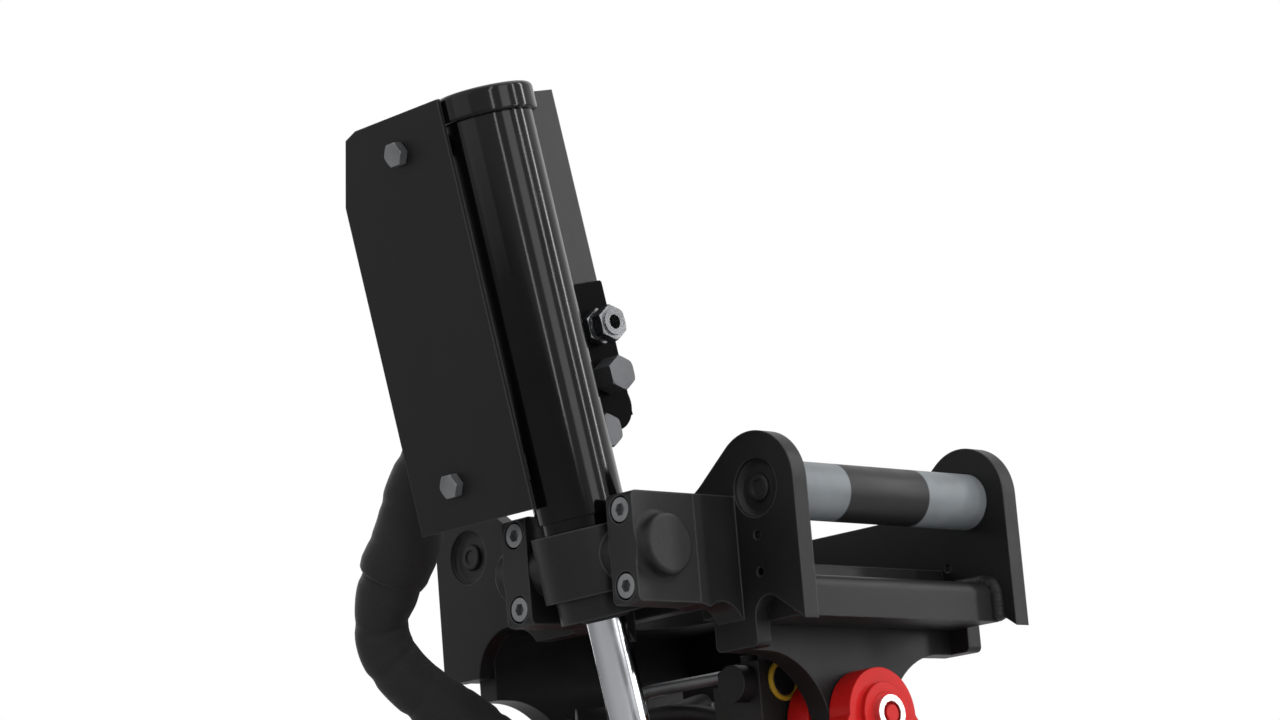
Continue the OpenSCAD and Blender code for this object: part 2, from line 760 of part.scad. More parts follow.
// The two forks that the tongues hang in
module forks() {
    slot = tongue_r + 6;
    both_ends() difference() {
        at_tilt() plate_yz(lug_in, lug_out) lug_outline();
        at_tilt() translate([lug_in + lug_t, -140, -slot]) cube([tongue_t + 2 * lug_gap, 280, 200]);
        at_tilt() rod_x(lug_in - 1, lug_out + 1, shaft_d / 2 + seat_fit);
    }
    both_ends() at_tilt() difference() {
        rod_x(lug_out - eps, lug_out + 4, lug_r * 0.68);
        rod_x(lug_in, lug_out + 5, shaft_d / 2 + seat_fit);
    }
}

// The lugs that take the rod's pin, each with a blind pocket inside and a raised face outside
module rod_clevis() {
    c = [eye_y + play_centre[0], eye_z + play_centre[1]];
    for (side = [-1, 1]) {
        inner = side * clevis_gap / 2;
        outer = side * (clevis_gap / 2 + clevis_t);
        translate([trunnion_x, 0, 0]) difference() {
            union() {
                plate_yz(min(inner, outer), max(inner, outer)) {
                    translate(c) circle(clevis_r);
                    polygon([c + clevis_r * dir(100), c + clevis_r * dir(-90), [-40, drum_z + 3],
                        [-40, drum_z + drum_h - 22]]);
                }
                translate([side < 0 ? outer - 4 : outer, c[0], c[1]]) rod_x(0, 4, clevis_r - 8);
            }
            translate([side < 0 ? outer + 6 : inner - 1, c[0], c[1]])
                rod_x(0, clevis_t - 5, rod_pin_d / 2 + pin_play);
        }
    }
}

// The housing: a gear drum with a worm casing at its side, two forks and the rod's lugs
module housing() {
    edge = 10;
    color("#c22a2e") difference() {
        union() {
            translate([0, 0, drum_z]) rotate_extrude() difference() {
                square([drum_r, drum_h]);
                corner([drum_r, drum_h], 180, 270, edge);
                corner([drum_r, 0], 90, 180, 4);
            }
            at_worm() rod_x(-worm_half, worm_half, worm_r);
            at_worm() translate([-worm_half, -worm_y, -worm_r]) cube([2 * worm_half, worm_y, 2 * worm_r]);
            forks();
            difference() {
                rod_clevis();
                translate([0, 0, drum_z]) cylinder(r = drum_r - 5, h = drum_h);
            }
        }
        translate([0, 0, drum_z - 1]) cylinder(r = hub_r + run_fit, h = 41);
        at_worm() {
            rod_x(worm_half - 12, worm_half + 1, worm_r - 8 + seat_fit);
            rod_x(worm_half, worm_half + 20, worm_r - 2 + side_gap);
            rod_x(-worm_half - 1, -worm_half + 12, motor_r - 6 + seat_fit);
            rod_x(-worm_half - 20, -worm_half, worm_r - 1 + side_gap);
        }
    }
}

// A shaft that joins a fork to its tongue
module tilt_shaft() {
    at_tilt() rod_x(lug_in, lug_out + 4, shaft_d / 2);
    at_tilt() rod_x(lug_out + 4, lug_out + 9, 6);
}

module tilt_shaft_front() { color("#c22a2e") tilt_shaft(); }
module tilt_shaft_rear() { color("#c22a2e") mirror([1, 0, 0]) tilt_shaft(); }

// The ring that holds a shaft in its fork
module shaft_nut() {
    at_tilt() difference() {
        rod_x(lug_out + 4, lug_out + 9, 13);
        rod_x(lug_out, lug_out + 10, 8.5);
    }
}

module shaft_nut_front() { color("#c9ccce") shaft_nut(); }
module shaft_nut_rear() { color("#c9ccce") mirror([1, 0, 0]) shaft_nut(); }

// The cover at the worm's front end
module worm_cap() {
    color("#2b2c2e") at_worm() {
        rod_x(worm_half - 10, worm_half, worm_r - 8);
        rod_x(worm_half, worm_half + 7, worm_r - 2);
        for (a = [0:60:300]) rotate([a, 0, 0]) translate([0, worm_r - 8, 0])
            rod_x(worm_half + 7, worm_half + 12, 4);
    }
}

// The hydraulic motor that drives the worm, flanged to the casing's rear end
module rotor_motor() {
    color("#1b1c1e") at_worm() difference() {
        union() {
            rod_x(-worm_half - 8, -worm_half + 10, motor_r - 6);
            rod_x(-worm_half - 12, -worm_half, worm_r - 1);
            rod_x(-worm_half - motor_l, -worm_half - 12, motor_r - 3);
            translate([-worm_half - motor_l + 8, -14, motor_r - 8]) cube([34, 28, 12]);
        }
        for (x = [16, 34]) translate([-worm_half - motor_l + x, 0, motor_r - 2]) cylinder(d = 9, h = 12);
    }
}

// The cap over the oil swivel, in the middle of the drum's deck
module swivel_cap() {
    color("#202124") translate([0, 0, tilt_z - drum_drop]) rotate_extrude() difference() {
        square([44, 15]);
        corner([44, 15], 180, 270, 5);
        translate([0, 11]) square([26, 5]);
    }
}

// The control valve block on the drum's deck, with a stepped corner
module control_block() {
    difference() {
        translate([valve_x, valve_y, -drum_drop]) cube([valve_l, valve_w, valve_h]);
        translate([valve_x - 1, valve_y - 1, valve_h - drum_drop - 14]) cube([15, 17, 15]);
        for (x = [12, 32]) translate([valve_x + x, valve_y + valve_w - 14, valve_h - drum_drop - 8])
            cylinder(d = 12, h = 10);
    }
}

// The manifold across the swivel from it, with hex plugs along its front
module manifold_block() {
    at = manifold[0];
    size = manifold[1];
    high = manifold[2];
    translate([at[0], at[1], -drum_drop]) difference() {
        cube([size[0], size[1], high]);
        translate([-1, -1, high - 16]) cube([18, size[1] + 2, 20]);
        translate([size[0] - 22, -1, high - 10]) cube([30, 12, 20]);
    }
    for (x = [30, 52, 74]) translate([at[0] + x, at[1] + eps, high - drum_drop - 26])
        rotate([90, 0, 0]) hex_head(8, 7);
}

module valve_block() {
    color("#8d8f90") at_tilt() {
        control_block();
        manifold_block();
    }
}

// Round solenoids on the valve block's side, end and top
module solenoids() {
    top = valve_h - drum_drop;
    color("#232427") at_tilt() {
        translate([valve_x + valve_l - 14, 0, top - 15]) rod_y(valve_y - 14, valve_y, 13);
        translate([0, valve_y + 22, top - 14]) rod_x(valve_x + valve_l, valve_x + valve_l + 3, 10.5);
        for (x = [[12, 8, 9], [32, 14, 11]]) translate([valve_x + x[0], valve_y + valve_w - 14, 0]) {
            translate([0, 0, top]) cylinder(r = x[2], h = x[1]);
            translate([0, 0, top - 6]) cylinder(r = 6 - seat_fit, h = 7);
        }
    }
}

// The seal ring round the solenoid at the block's end
module valve_ring() {
    color("#c9a227") at_tilt() translate([valve_x + valve_l + 2, valve_y + 22, valve_h - drum_drop - 14])
        rotate([0, 90, 0]) rotate_extrude() translate([12.6, 0]) circle(2);
}

// A bent steel pipe from the valve block down to the drum's deck
module steel_pipe() {
    r = 4.5;
    bend = 24;
    z = valve_h - drum_drop - 6;
    y = valve_y + 10;
    color("#9fa4a7") at_tilt() translate([0, y, z]) {
        rod_x(pipe_x, valve_x, r);
        translate([pipe_x, 0, -bend]) rotate([90, -90, 0]) rotate_extrude(angle = 90) translate([bend, 0])
            circle(r);
        translate([pipe_x - bend, 0, -z - drum_drop]) cylinder(r = r, h = z + drum_drop - bend);
        translate([pipe_x - bend, 0, -z - drum_drop]) cylinder(r = 10, h = 9, $fn = 6);
    }
}

// The flange that turns under the drum on its journal
module rotor_flange() {
    color("#5d6164") {
        translate([0, 0, hitch_top]) cylinder(r = flange_r, h = flange_t);
        translate([0, 0, hitch_top + flange_t]) cylinder(r = hub_r, h = hub_gap + 38);
    }
}

module hitch_top_plate() {
    x = 132;
    r = 24;
    color("#26272a") translate([0, 0, hitch_top - hitch_top_t]) linear_extrude(hitch_top_t) difference() {
        translate([-x, -hitch_y]) square([2 * x, 2 * hitch_y]);
        corner([x, hitch_y], 180, 270, r);
        corner([x, -hitch_y], 90, 180, r);
        corner([-x, hitch_y], 270, 360, r);
        corner([-x, -hitch_y], 0, 90, r);
    }
}

// A hitch side: a hook open to the front, and a jaw open downwards at the rear
module hitch_outline() {
    jaw = -pin_x;
    top = hitch_top - hitch_top_t;
    difference() {
        polygon([[jaw - 36, 30], [jaw - 36, seat_z + 22], [jaw - 6, top], [pin_x - 46, top],
            [pin_x + 14, seat_z + 42], [pin_x + 22, seat_z + 34], [pin_x + 22, 0], [40, 0], [20, 22],
            [-72, 22], [-92, 0], [jaw - 30, 0]]);
        translate([pin_x, seat_z]) circle(hook_r);
        translate([pin_x, seat_z - hook_r]) square([60, 2 * hook_r]);
        translate([jaw, seat_z]) circle(hook_r);
        translate([jaw - hook_r, -1]) square([2 * hook_r, seat_z + 1]);
        translate([-20, 66]) circle(17);
    }
}

module hitch_side_near() { color("#232427") plate_xz(-hitch_y, -hitch_y + hitch_t) hitch_outline(); }
module hitch_side_far() { color("#232427") plate_xz(hitch_y - hitch_t, hitch_y) hitch_outline(); }

// The cross beam behind the hook, between the hitch's sides
module hitch_beam() {
    y = hitch_y - hitch_t;
    color("#26272a") plate_xz(-y, y) difference() {
        translate([hitch_beam_x, seat_z - 26]) square([hitch_beam_w, hitch_top - hitch_top_t - seat_z + 26]);
        corner([hitch_beam_x + hitch_beam_w, seat_z - 26], 90, 180, 6);
    }
}

module flange_bolts() {
    n = 12;
    color("#8d9296") for (i = [0:n - 1]) rotate([0, 0, i * 360 / n])
        translate([bolt_ring, 0, hitch_top - hitch_top_t - 7]) cylinder(r = bolt_head, h = 7, $fn = 6);
}

// The housing that guides the lock bars
module lock_housing() {
    y = hitch_y - hitch_t;
    color("#2b2c2e") difference() {
        translate([lock_x, -y, 2]) cube([lock_l, 2 * y, lock_h]);
        for (side = [-1, 1]) translate([0, side * lock_y, lock_z])
            rod_x(lock_x - 1, lock_x + lock_l - 6, lock_d / 2 + run_fit);
    }
}

// The lock bars reach under the rear pin when they are out
module lock_bars() {
    color("#b4b8bb") for (side = [-1, 1]) translate([0, side * lock_y, lock_z])
        rod_x(lock_x + 2, lock_x + lock_l - 10, lock_d / 2);
}

// The hose sleeve in two lengths, lapped where they meet behind the bracket
module hose_sleeve_upper() { color("#232325") tube(sleeve_upper, sleeve_d); }
module hose_sleeve_lower() { color("#232325") tube(sleeve_lower, sleeve_d - 4); }

// The socket on the drum's deck that the sleeve's hoses run into
module hose_socket() {
    end = sleeve_lower[len(sleeve_lower) - 1];
    back = sleeve_lower[len(sleeve_lower) - 2];
    turn = atan2(end[1] - back[1], end[0] - back[0]);
    deck_z = tilt_z - drum_drop;
    color("#1d1e20") translate([end[0], end[1], 0]) rotate([0, 0, turn]) {
        translate([0.3, 0, end[2]]) rotate([0, 90, 0]) cylinder(r = sleeve_d / 2, h = 22);
        translate([4, -sleeve_d / 2 + 4, deck_z]) cube([18, sleeve_d - 8, end[2] - deck_z]);
    }
}

side_plate_near();
side_plate_far();
tongue_front();
tongue_rear();
beam_front();
beam_rear();
deck();
pin_front();
pin_rear();
tilt_bush_front();
tilt_bush_rear();
block_front();
block_rear();
trunnion_bush_front();
trunnion_bush_rear();
block_screws();
barrel();
end_cap();
collar();
gland();
guard_front_plate();
guard_back_plate();
guard_spacers();
guard_bolts();
port_block();
port_adapter();
port_plugs();
rod();
piston();
rod_eye();
rod_pin();
housing();
tilt_shaft_front();
tilt_shaft_rear();
shaft_nut_front();
shaft_nut_rear();
worm_cap();
rotor_motor();
swivel_cap();
valve_block();
solenoids();
valve_ring();
steel_pipe();
rotor_flange();
hitch_top_plate();
hitch_side_near();
hitch_side_far();
hitch_beam();
flange_bolts();
lock_housing();
lock_bars();
hose_sleeve_upper();
hose_sleeve_lower();
hose_socket();
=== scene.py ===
"""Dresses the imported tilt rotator: its finishes, hose sleeve, drum hoses, welds and small fittings."""
import logging
import math
from collections.abc import Callable, Sequence
from dataclasses import dataclass
from enum import Enum

import bmesh
import bpy
from mathutils import Euler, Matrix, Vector


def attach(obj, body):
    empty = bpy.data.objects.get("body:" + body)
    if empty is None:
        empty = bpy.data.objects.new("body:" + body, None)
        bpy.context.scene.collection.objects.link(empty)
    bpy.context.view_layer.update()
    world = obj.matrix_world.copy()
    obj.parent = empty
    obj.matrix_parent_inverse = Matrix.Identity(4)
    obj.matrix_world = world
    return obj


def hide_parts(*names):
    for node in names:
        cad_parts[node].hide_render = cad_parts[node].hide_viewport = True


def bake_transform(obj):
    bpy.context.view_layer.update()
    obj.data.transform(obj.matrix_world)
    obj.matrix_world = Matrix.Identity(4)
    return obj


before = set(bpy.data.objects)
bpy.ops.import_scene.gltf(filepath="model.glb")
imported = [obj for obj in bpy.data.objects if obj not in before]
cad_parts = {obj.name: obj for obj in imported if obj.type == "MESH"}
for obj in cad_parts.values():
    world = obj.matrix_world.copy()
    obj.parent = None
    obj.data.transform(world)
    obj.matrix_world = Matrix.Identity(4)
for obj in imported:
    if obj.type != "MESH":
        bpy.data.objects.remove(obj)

LOG = logging.getLogger("tilt_rotator")
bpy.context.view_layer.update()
MM = 0.001

Colour = tuple[float, float, float]
Point = tuple[float, float, float]
Socket = bpy.types.NodeSocket


class Body(str, Enum):
    """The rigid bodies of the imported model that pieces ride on."""

    HITCH = "hitch"
    LOCK = "lock"
    HOUSING = "housing"
    BRACKET = "bracket"
    BARREL = "barrel"
    ROD = "rod"


class Graph:
    """A node tree with short calls for adding and joining nodes."""

    def __init__(self, tree: bpy.types.NodeTree) -> None:
        """Keeps the tree, emptied of its nodes.

        Args:
            tree: the node tree to build in.
        """
        self.tree = tree
        tree.nodes.clear()

    def add(self, kind: str, settings: dict[str, object] | None = None, **sockets: object) -> bpy.types.Node:
        """Adds a node.

        Args:
            kind: the node's type name without its "ShaderNode" prefix.
            settings: properties of the node itself.
            sockets: input names, with _ for a space, and a value or a socket to link from.

        Returns:
            The new node.
        """
        node = self.tree.nodes.new(kind if kind.startswith("Node") else "ShaderNode" + kind)
        for key, value in (settings or {}).items():
            setattr(node, key, value)
        for key, value in sockets.items():
            self.feed(node.inputs[key.replace("_", " ")], value)
        return node

    def feed(self, target: Socket, value: object) -> None:
        """Sets an input to a value, or links it when the value is a socket.

        Args:
            target: the input socket.
            value: a plain value or an output socket.
        """
        if isinstance(value, bpy.types.NodeSocket):
            self.tree.links.new(value, target)
        else:
            target.default_value = value

    def math(self, operation: str, a: object, b: object = 0.0, clamp: bool = False) -> Socket:
        """Joins two values with a Math node.

        Args:
            operation: the node's operation.
            a: the first value or socket.
            b: the second value or socket.
            clamp: whether the result stays between 0 and 1.

        Returns:
            The result's socket.
        """
        node = self.add("Math", {"operation": operation, "use_clamp": clamp})
        self.feed(node.inputs[0], a)
        self.feed(node.inputs[1], b)
        return node.outputs[0]

    def vector(self, operation: str, a: object, b: object) -> bpy.types.Node:
        """Joins two vectors with a Vector Math node.

        Args:
            operation: the node's operation.
            a: the first vector or socket.
            b: the second vector or socket.

        Returns:
            The node, whose outputs hold a vector and a value.
        """
        node = self.add("VectorMath", {"operation": operation})
        self.feed(node.inputs[0], a)
        self.feed(node.inputs[1], b)
        return node

    def mix(self, factor: object, a: object, b: object) -> Socket:
        """Mixes two colours.

        Args:
            factor: the second colour's share.
            a: the first colour or its socket.
            b: the second colour or its socket.

        Returns:
            The result's socket.
        """
        node = self.add("Mix", {"data_type": "RGBA"})
        self.feed(node.inputs[0], factor)
        for slot, value in ((6, a), (7, b)):
            self.feed(node.inputs[slot], value if isinstance(value, bpy.types.NodeSocket) else (*value, 1.0))
        return node.outputs[2]

    def ramp(self, value: object, low: float, high: float, to_low: float = 0.0,
             to_high: float = 1.0) -> Socket:
        """Maps a value from one range to another, clamped.

        Args:
            value: the value or socket.
            low: the value that gives to_low.
            high: the value that gives to_high.
            to_low: the result at low.
            to_high: the result at high.

        Returns:
            The result's socket.
        """
        node = self.add("MapRange")
        for key, number in (("Value", value), ("From Min", low), ("From Max", high), ("To Min", to_low),
                            ("To Max", to_high)):
            self.feed(node.inputs[key], number)
        return node.outputs[0]

    def group(self, tree: bpy.types.NodeTree, **sockets: object) -> bpy.types.Node:
        """Places a shared effect.

        Args:
            tree: the effect's node group.
            sockets: its inputs, as for add.

        Returns:
            The group node.
        """
        node = self.tree.nodes.new("ShaderNodeGroup")
        node.node_tree = tree
        for key, value in sockets.items():
            self.feed(node.inputs[key.replace("_", " ")], value)
        return node


class Effects:
    """The surface effects that the finishes share, each built once as a node group."""

    edge_turn: tuple[float, float] = (0.99, 0.88)
    bevel_samples: int = 4
    mottle_span: tuple[float, float] = (0.3, 0.7)
    dust_span: tuple[float, float] = (0.52, 0.72)
    pit_scale: float = 0.55
    pit_depth: float = 0.5
    yarn_round: float = 0.6

    def __init__(self) -> None:
        """Builds every effect."""
        self.edge = self._edge()
        self.grain = self._grain()
        self.lines = self._lines()
        self.weave = self._weave()

    @staticmethod
    def _open(name: str, inputs: dict[str, str],
              outputs: dict[str, str]) -> tuple[Graph, Callable[[str], Socket], bpy.types.Node]:
        """Starts a node group.

        Args:
            name: the group's name.
            inputs: input names and their socket kinds.
            outputs: output names and their socket kinds.

        Returns:
            The graph, a function that gives an input's socket, and the output node.
        """
        tree = bpy.data.node_groups.new(name, "ShaderNodeTree")
        for direction, sockets in (("INPUT", inputs), ("OUTPUT", outputs)):
            for label, kind in sockets.items():
                tree.interface.new_socket(name=label, in_out=direction, socket_type="NodeSocket" + kind)
        graph = Graph(tree)
        source = graph.add("NodeGroupInput")
        return graph, lambda label: source.outputs[label], graph.add("NodeGroupOutput")

    def _edge(self) -> bpy.types.NodeTree:
        """Softens sharp edges, and gives a mask of where they are.

        Returns:
            The node group.
        """
        graph, given, out = self._open("Rounded edge", {"Radius": "Float"},
                                       {"Normal": "Vector", "Edge": "Float"})
        bevel = graph.add("Bevel", {"samples": self.bevel_samples}, Radius=given("Radius"))
        facing = graph.vector("DOT_PRODUCT", bevel.outputs[0], graph.add("NewGeometry").outputs["Normal"])
        graph.feed(out.inputs["Normal"], bevel.outputs[0])
        graph.feed(out.inputs["Edge"], graph.ramp(facing.outputs["Value"], *self.edge_turn))
        return graph.tree

    def _grain(self) -> bpy.types.NodeTree:
        """A fine sprayed or cast grain over a broad, faint mottle.

        Returns:
            The node group.
        """
        graph, given, out = self._open("Sprayed grain", {"Vector": "Vector", "Scale": "Float"},
                                       {"Height": "Float", "Mottle": "Float", "Dust": "Float"})
        fine = graph.add("TexNoise", Vector=given("Vector"), Scale=given("Scale"), Detail=3.0, Roughness=0.6)
        coarser = graph.math("MULTIPLY", given("Scale"), self.pit_scale)
        pits = graph.add("TexVoronoi", Vector=given("Vector"), Scale=coarser)
        broad = graph.add("TexNoise", Vector=given("Vector"), Scale=21.0, Detail=5.0, Roughness=0.62)
        dust = graph.add("TexNoise", Vector=given("Vector"), Scale=240.0, Detail=4.0, Roughness=0.75)
        height = graph.math("ADD", fine.outputs[0],
                            graph.math("MULTIPLY", pits.outputs["Distance"], self.pit_depth))
        graph.feed(out.inputs["Height"], height)
        graph.feed(out.inputs["Mottle"], graph.ramp(broad.outputs[0], *self.mottle_span))
        graph.feed(out.inputs["Dust"], graph.ramp(dust.outputs[0], *self.dust_span))
        return graph.tree

    def _lines(self) -> bpy.types.NodeTree:
        """Fine tool marks, drawn out across the Stretch direction.

        Returns:
            The node group.
        """
        graph, given, out = self._open("Tool marks", {"Vector": "Vector", "Stretch": "Vector"},
                                       {"Height": "Float", "Mottle": "Float"})
        drawn = graph.vector("MULTIPLY", given("Vector"), given("Stretch"))
        fine = graph.add("TexNoise", Vector=drawn.outputs[0], Scale=1.0, Detail=4.0, Roughness=0.7)
        broad = graph.add("TexNoise", Vector=given("Vector"), Scale=38.0, Detail=4.0)
        graph.feed(out.inputs["Height"], fine.outputs[0])
        graph.feed(out.inputs["Mottle"], graph.ramp(broad.outputs[0], *self.mottle_span))
        return graph.tree

    def _weave(self) -> bpy.types.NodeTree:
        """A plain weave of round yarns over a sleeve's own length and girth.

        Returns:
            The node group.
        """
        graph, given, out = self._open("Woven yarns", {"UV": "Vector"}, {"Height": "Float", "Yarn": "Float"})
        parts = graph.add("SeparateXYZ", Vector=given("UV"))
        across = graph.math("SINE", graph.math("MULTIPLY", parts.outputs[0], math.pi))
        along = graph.math("SINE", graph.math("MULTIPLY", parts.outputs[1], math.pi))
        over = graph.math("GREATER_THAN", graph.math("MULTIPLY", across, along), 0.0)
        warp = graph.math("ABSOLUTE", across)
        weft = graph.math("ABSOLUTE", along)
        high = graph.math("ADD", graph.math("MULTIPLY", warp, over),
                          graph.math("MULTIPLY", weft, graph.math("SUBTRACT", 1.0, over)))
        graph.feed(out.inputs["Height"], graph.math("POWER", high, self.yarn_round))
        graph.feed(out.inputs["Yarn"], over)
        return graph.tree


FX = Effects()


@dataclass(frozen=True)
class Finish:
    """A sprayed, cast or moulded finish: one colour with a grain, a mottle and softly rounded edges with a
    painted highlight.
    """

    name: str
    colour: Colour
    rough: float
    metallic: float = 0.0
    specular: float = 0.5
    coat: float = 0.0
    grain: float = 900.0
    depth: float = 0.08
    mottle: float = 0.12
    # edge_light and edge_shade paint a highlight along sharp edges: its strength, and how much lighter the
    # colour is there.
    edge_light: float = 0.8
    edge_radius: float = 1.6 * MM
    edge_shade: float = 7.0
    coat_rough: float = 0.08
    dust: float = 0.12
    dust_shade: float = 1.9
    rough_span: float = 0.05
    relief: float = 0.4 * MM

    def material(self) -> bpy.types.Material:
        """Builds the material, or gives the one already built.

        Returns:
            The material.
        """
        label = f"finish_{self.name}"
        made = bpy.data.materials.get(label)
        if made:
            return made
        made = bpy.data.materials.new(label)
        made.use_nodes = True
        graph = Graph(made.node_tree)
        self._dress(graph, self._shader(graph))
        return made

    def _shader(self, graph: Graph) -> bpy.types.Node:
        """Adds the shader with its constant values, joined to the output.

        Args:
            graph: the material's graph.

        Returns:
            The shader.
        """
        shader = graph.add("BsdfPrincipled", Metallic=self.metallic)
        shader.inputs["Specular IOR Level"].default_value = self.specular
        shader.inputs["Coat Weight"].default_value = self.coat
        shader.inputs["Coat Roughness"].default_value = self.coat_rough
        graph.add("OutputMaterial", Surface=shader.outputs[0])
        return shader

    def _shade(self, scale: float) -> Colour:
        """The finish's colour, lighter or darker."""
        return tuple(min(1.0, part * scale) for part in self.colour)

    def _coordinates(self, graph: Graph) -> Socket:
        """The object's own coordinates, which move with it."""
        return graph.add("TexCoord").outputs["Object"]

    def _dress(self, graph: Graph, shader: bpy.types.Node) -> None:
        """Feeds the shader's colour, roughness and normal.

        Args:
            graph: the material's graph.
            shader: its shader.
        """
        grain = graph.group(FX.grain, Vector=self._coordinates(graph), Scale=self.grain)
        edge = graph.group(FX.edge, Radius=self.edge_radius)
        tone = graph.mix(grain.outputs["Mottle"], self._shade(1 - self.mottle), self._shade(1 + self.mottle))
        dusty = graph.math("MULTIPLY", grain.outputs["Dust"], self.dust)
        tone = graph.mix(dusty, tone, self._shade(self.dust_shade))
        # Painted highlight: the colour is lightened along sharp edges, standing in for the bright lines that
        # rounded edges catch from the lamps.
        painted_edge_highlight = graph.math("MULTIPLY", edge.outputs["Edge"], self.edge_light)
        graph.feed(shader.inputs["Base Color"], graph.mix(painted_edge_highlight, tone, self._shade(self.edge_shade)))
        graph.feed(shader.inputs["Roughness"],
                   graph.ramp(grain.outputs["Mottle"], 0.0, 1.0, self.rough - self.rough_span,
                              self.rough + self.rough_span))
        bump = graph.add("Bump", Strength=self.depth, Distance=self.relief, Height=grain.outputs["Height"],
                         Normal=edge.outputs["Normal"])
        graph.feed(shader.inputs["Normal"], bump.outputs[0])


@dataclass(frozen=True)
class Machined(Finish):
    """Bare or plated metal with tool marks drawn out round or along the piece."""

    stretch: Point = (700.0, 60.0, 700.0)
    edge_shade: float = 1.35
    rough_span: float = 0.07
    rough_least: float = 0.02
    marks_share: float = 0.5
    marks_span: tuple[float, float] = (0.25, 0.75)
    relief: float = 0.1 * MM

    def _dress(self, graph: Graph, shader: bpy.types.Node) -> None:
        """Feeds the shader from the tool marks.

        Args:
            graph: the material's graph.
            shader: its shader.
        """
        lines = graph.group(FX.lines, Vector=self._coordinates(graph), Stretch=self.stretch)
        edge = graph.group(FX.edge, Radius=self.edge_radius)
        tone = graph.mix(lines.outputs["Mottle"], self._shade(1 - self.mottle), self._shade(1 + self.mottle))
        # Painted highlight: the metal's colour is lightened along sharp edges, standing in for the bright
        # lines that rounded edges catch from the lamps.
        painted_edge_highlight = graph.math("MULTIPLY", edge.outputs["Edge"], self.edge_light)
        lit = graph.mix(painted_edge_highlight, tone, self._shade(self.edge_shade))
        graph.feed(shader.inputs["Base Color"], self._overpaint(graph, lit))
        marked = graph.math("ADD", graph.math("MULTIPLY", lines.outputs["Height"], self.marks_share),
                            graph.math("MULTIPLY", lines.outputs["Mottle"], 1 - self.marks_share))
        smoothest = max(self.rough_least, self.rough - self.rough_span)
        graph.feed(shader.inputs["Roughness"],
                   graph.ramp(marked, *self.marks_span, smoothest, self.rough + self.rough_span))
        bump = graph.add("Bump", Strength=self.depth, Distance=self.relief, Height=lines.outputs["Height"],
                         Normal=edge.outputs["Normal"])
        graph.feed(shader.inputs["Normal"], bump.outputs[0])

    def _overpaint(self, graph: Graph, tone: Socket) -> Socket:
        """What lies over the metal: nothing, unless a finish says so."""
        return tone


@dataclass(frozen=True)
class BandedPin(Machined):
    """A hitch pin with a black middle band between two grey ones."""

    band: float = 40 * MM
    free: float = 100 * MM
    blur: float = 0.4 * MM
    black: Colour = (0.012, 0.012, 0.013)

    def _overpaint(self, graph: Graph, tone: Socket) -> Socket:
        """Paints the middle band and both recessed ends black.

        Args:
            graph: the material's graph.
            tone: the grey metal's colour.

        Returns:
            The painted colour.
        """
        parts = graph.add("SeparateXYZ", Vector=self._coordinates(graph))
        along = graph.math("ABSOLUTE", parts.outputs[1])
        middle = graph.ramp(along, self.band + self.blur, self.band - self.blur)
        ends = graph.ramp(along, self.free - self.blur, self.free + self.blur)
        return graph.mix(graph.math("MAXIMUM", middle, ends), tone, self.black)


@dataclass(frozen=True)
class Woven(Finish):
    """A woven sleeve with a dull sheen, its yarns following the sleeve's own length and girth."""

    sheen: float = 0.06
    sheen_rough: float = 0.45
    warp_shade: float = 1.15
    weft_shade: float = 0.9
    mottle_mix: float = 0.3
    mottle_shade: float = 1.5
    dip_rough: float = 0.08
    top_rough: float = -0.06
    relief: float = 0.3 * MM

    def _shader(self, graph: Graph) -> bpy.types.Node:
        """Adds the shader with its sheen.

        Args:
            graph: the material's graph.

        Returns:
            The shader.
        """
        shader = super()._shader(graph)
        shader.inputs["Sheen Weight"].default_value = self.sheen
        shader.inputs["Sheen Roughness"].default_value = self.sheen_rough
        return shader

    def _dress(self, graph: Graph, shader: bpy.types.Node) -> None:
        """Feeds the shader from the weave and a broad mottle.

        Args:
            graph: the material's graph.
            shader: its shader.
        """
        weave = graph.group(FX.weave, UV=graph.add("UVMap", {"uv_map": "yarns"}).outputs[0])
        grain = graph.group(FX.grain, Vector=self._coordinates(graph), Scale=self.grain)
        tone = graph.mix(weave.outputs["Yarn"], self._shade(self.weft_shade), self._shade(self.warp_shade))
        faded = graph.math("MULTIPLY", grain.outputs["Mottle"], self.mottle_mix)
        tone = graph.mix(faded, tone, self._shade(self.mottle_shade))
        graph.feed(shader.inputs["Base Color"], tone)
        graph.feed(shader.inputs["Roughness"],
                   graph.ramp(weave.outputs["Height"], 0.0, 1.0, self.rough + self.dip_rough,
                              self.rough + self.top_rough))
        bump = graph.add("Bump", Strength=self.depth, Distance=self.relief, Height=weave.outputs["Height"])
        graph.feed(shader.inputs["Normal"], bump.outputs[0])


SATIN_BLACK = Finish("satin_black_coat", (0.0102, 0.0102, 0.0107), 0.40, specular=0.155, grain=1500.0,
                     depth=0.10)
CAST_BLACK = Finish("cast_black_coat", (0.0110, 0.0110, 0.0115), 0.42, specular=0.17, grain=700.0,
                    depth=0.16, edge_light=0.9, edge_radius=2.0 * MM)
SHEET_BLACK = Finish("sheet_black_coat", (0.0085, 0.0085, 0.009), 0.44, specular=0.15, grain=1700.0,
                     depth=0.09, edge_light=1.0, edge_radius=1.3 * MM)
# Painted light: a lighter, shinier copy of the guard's sheet coat for its back plate, which catches more light
# than the front plate.
LIT_BACK_SHEET = Finish("back_sheet_painted_light", (0.0110, 0.0110, 0.0115), 0.38, specular=0.24, grain=1700.0,
                    depth=0.09, edge_radius=1.0 * MM)
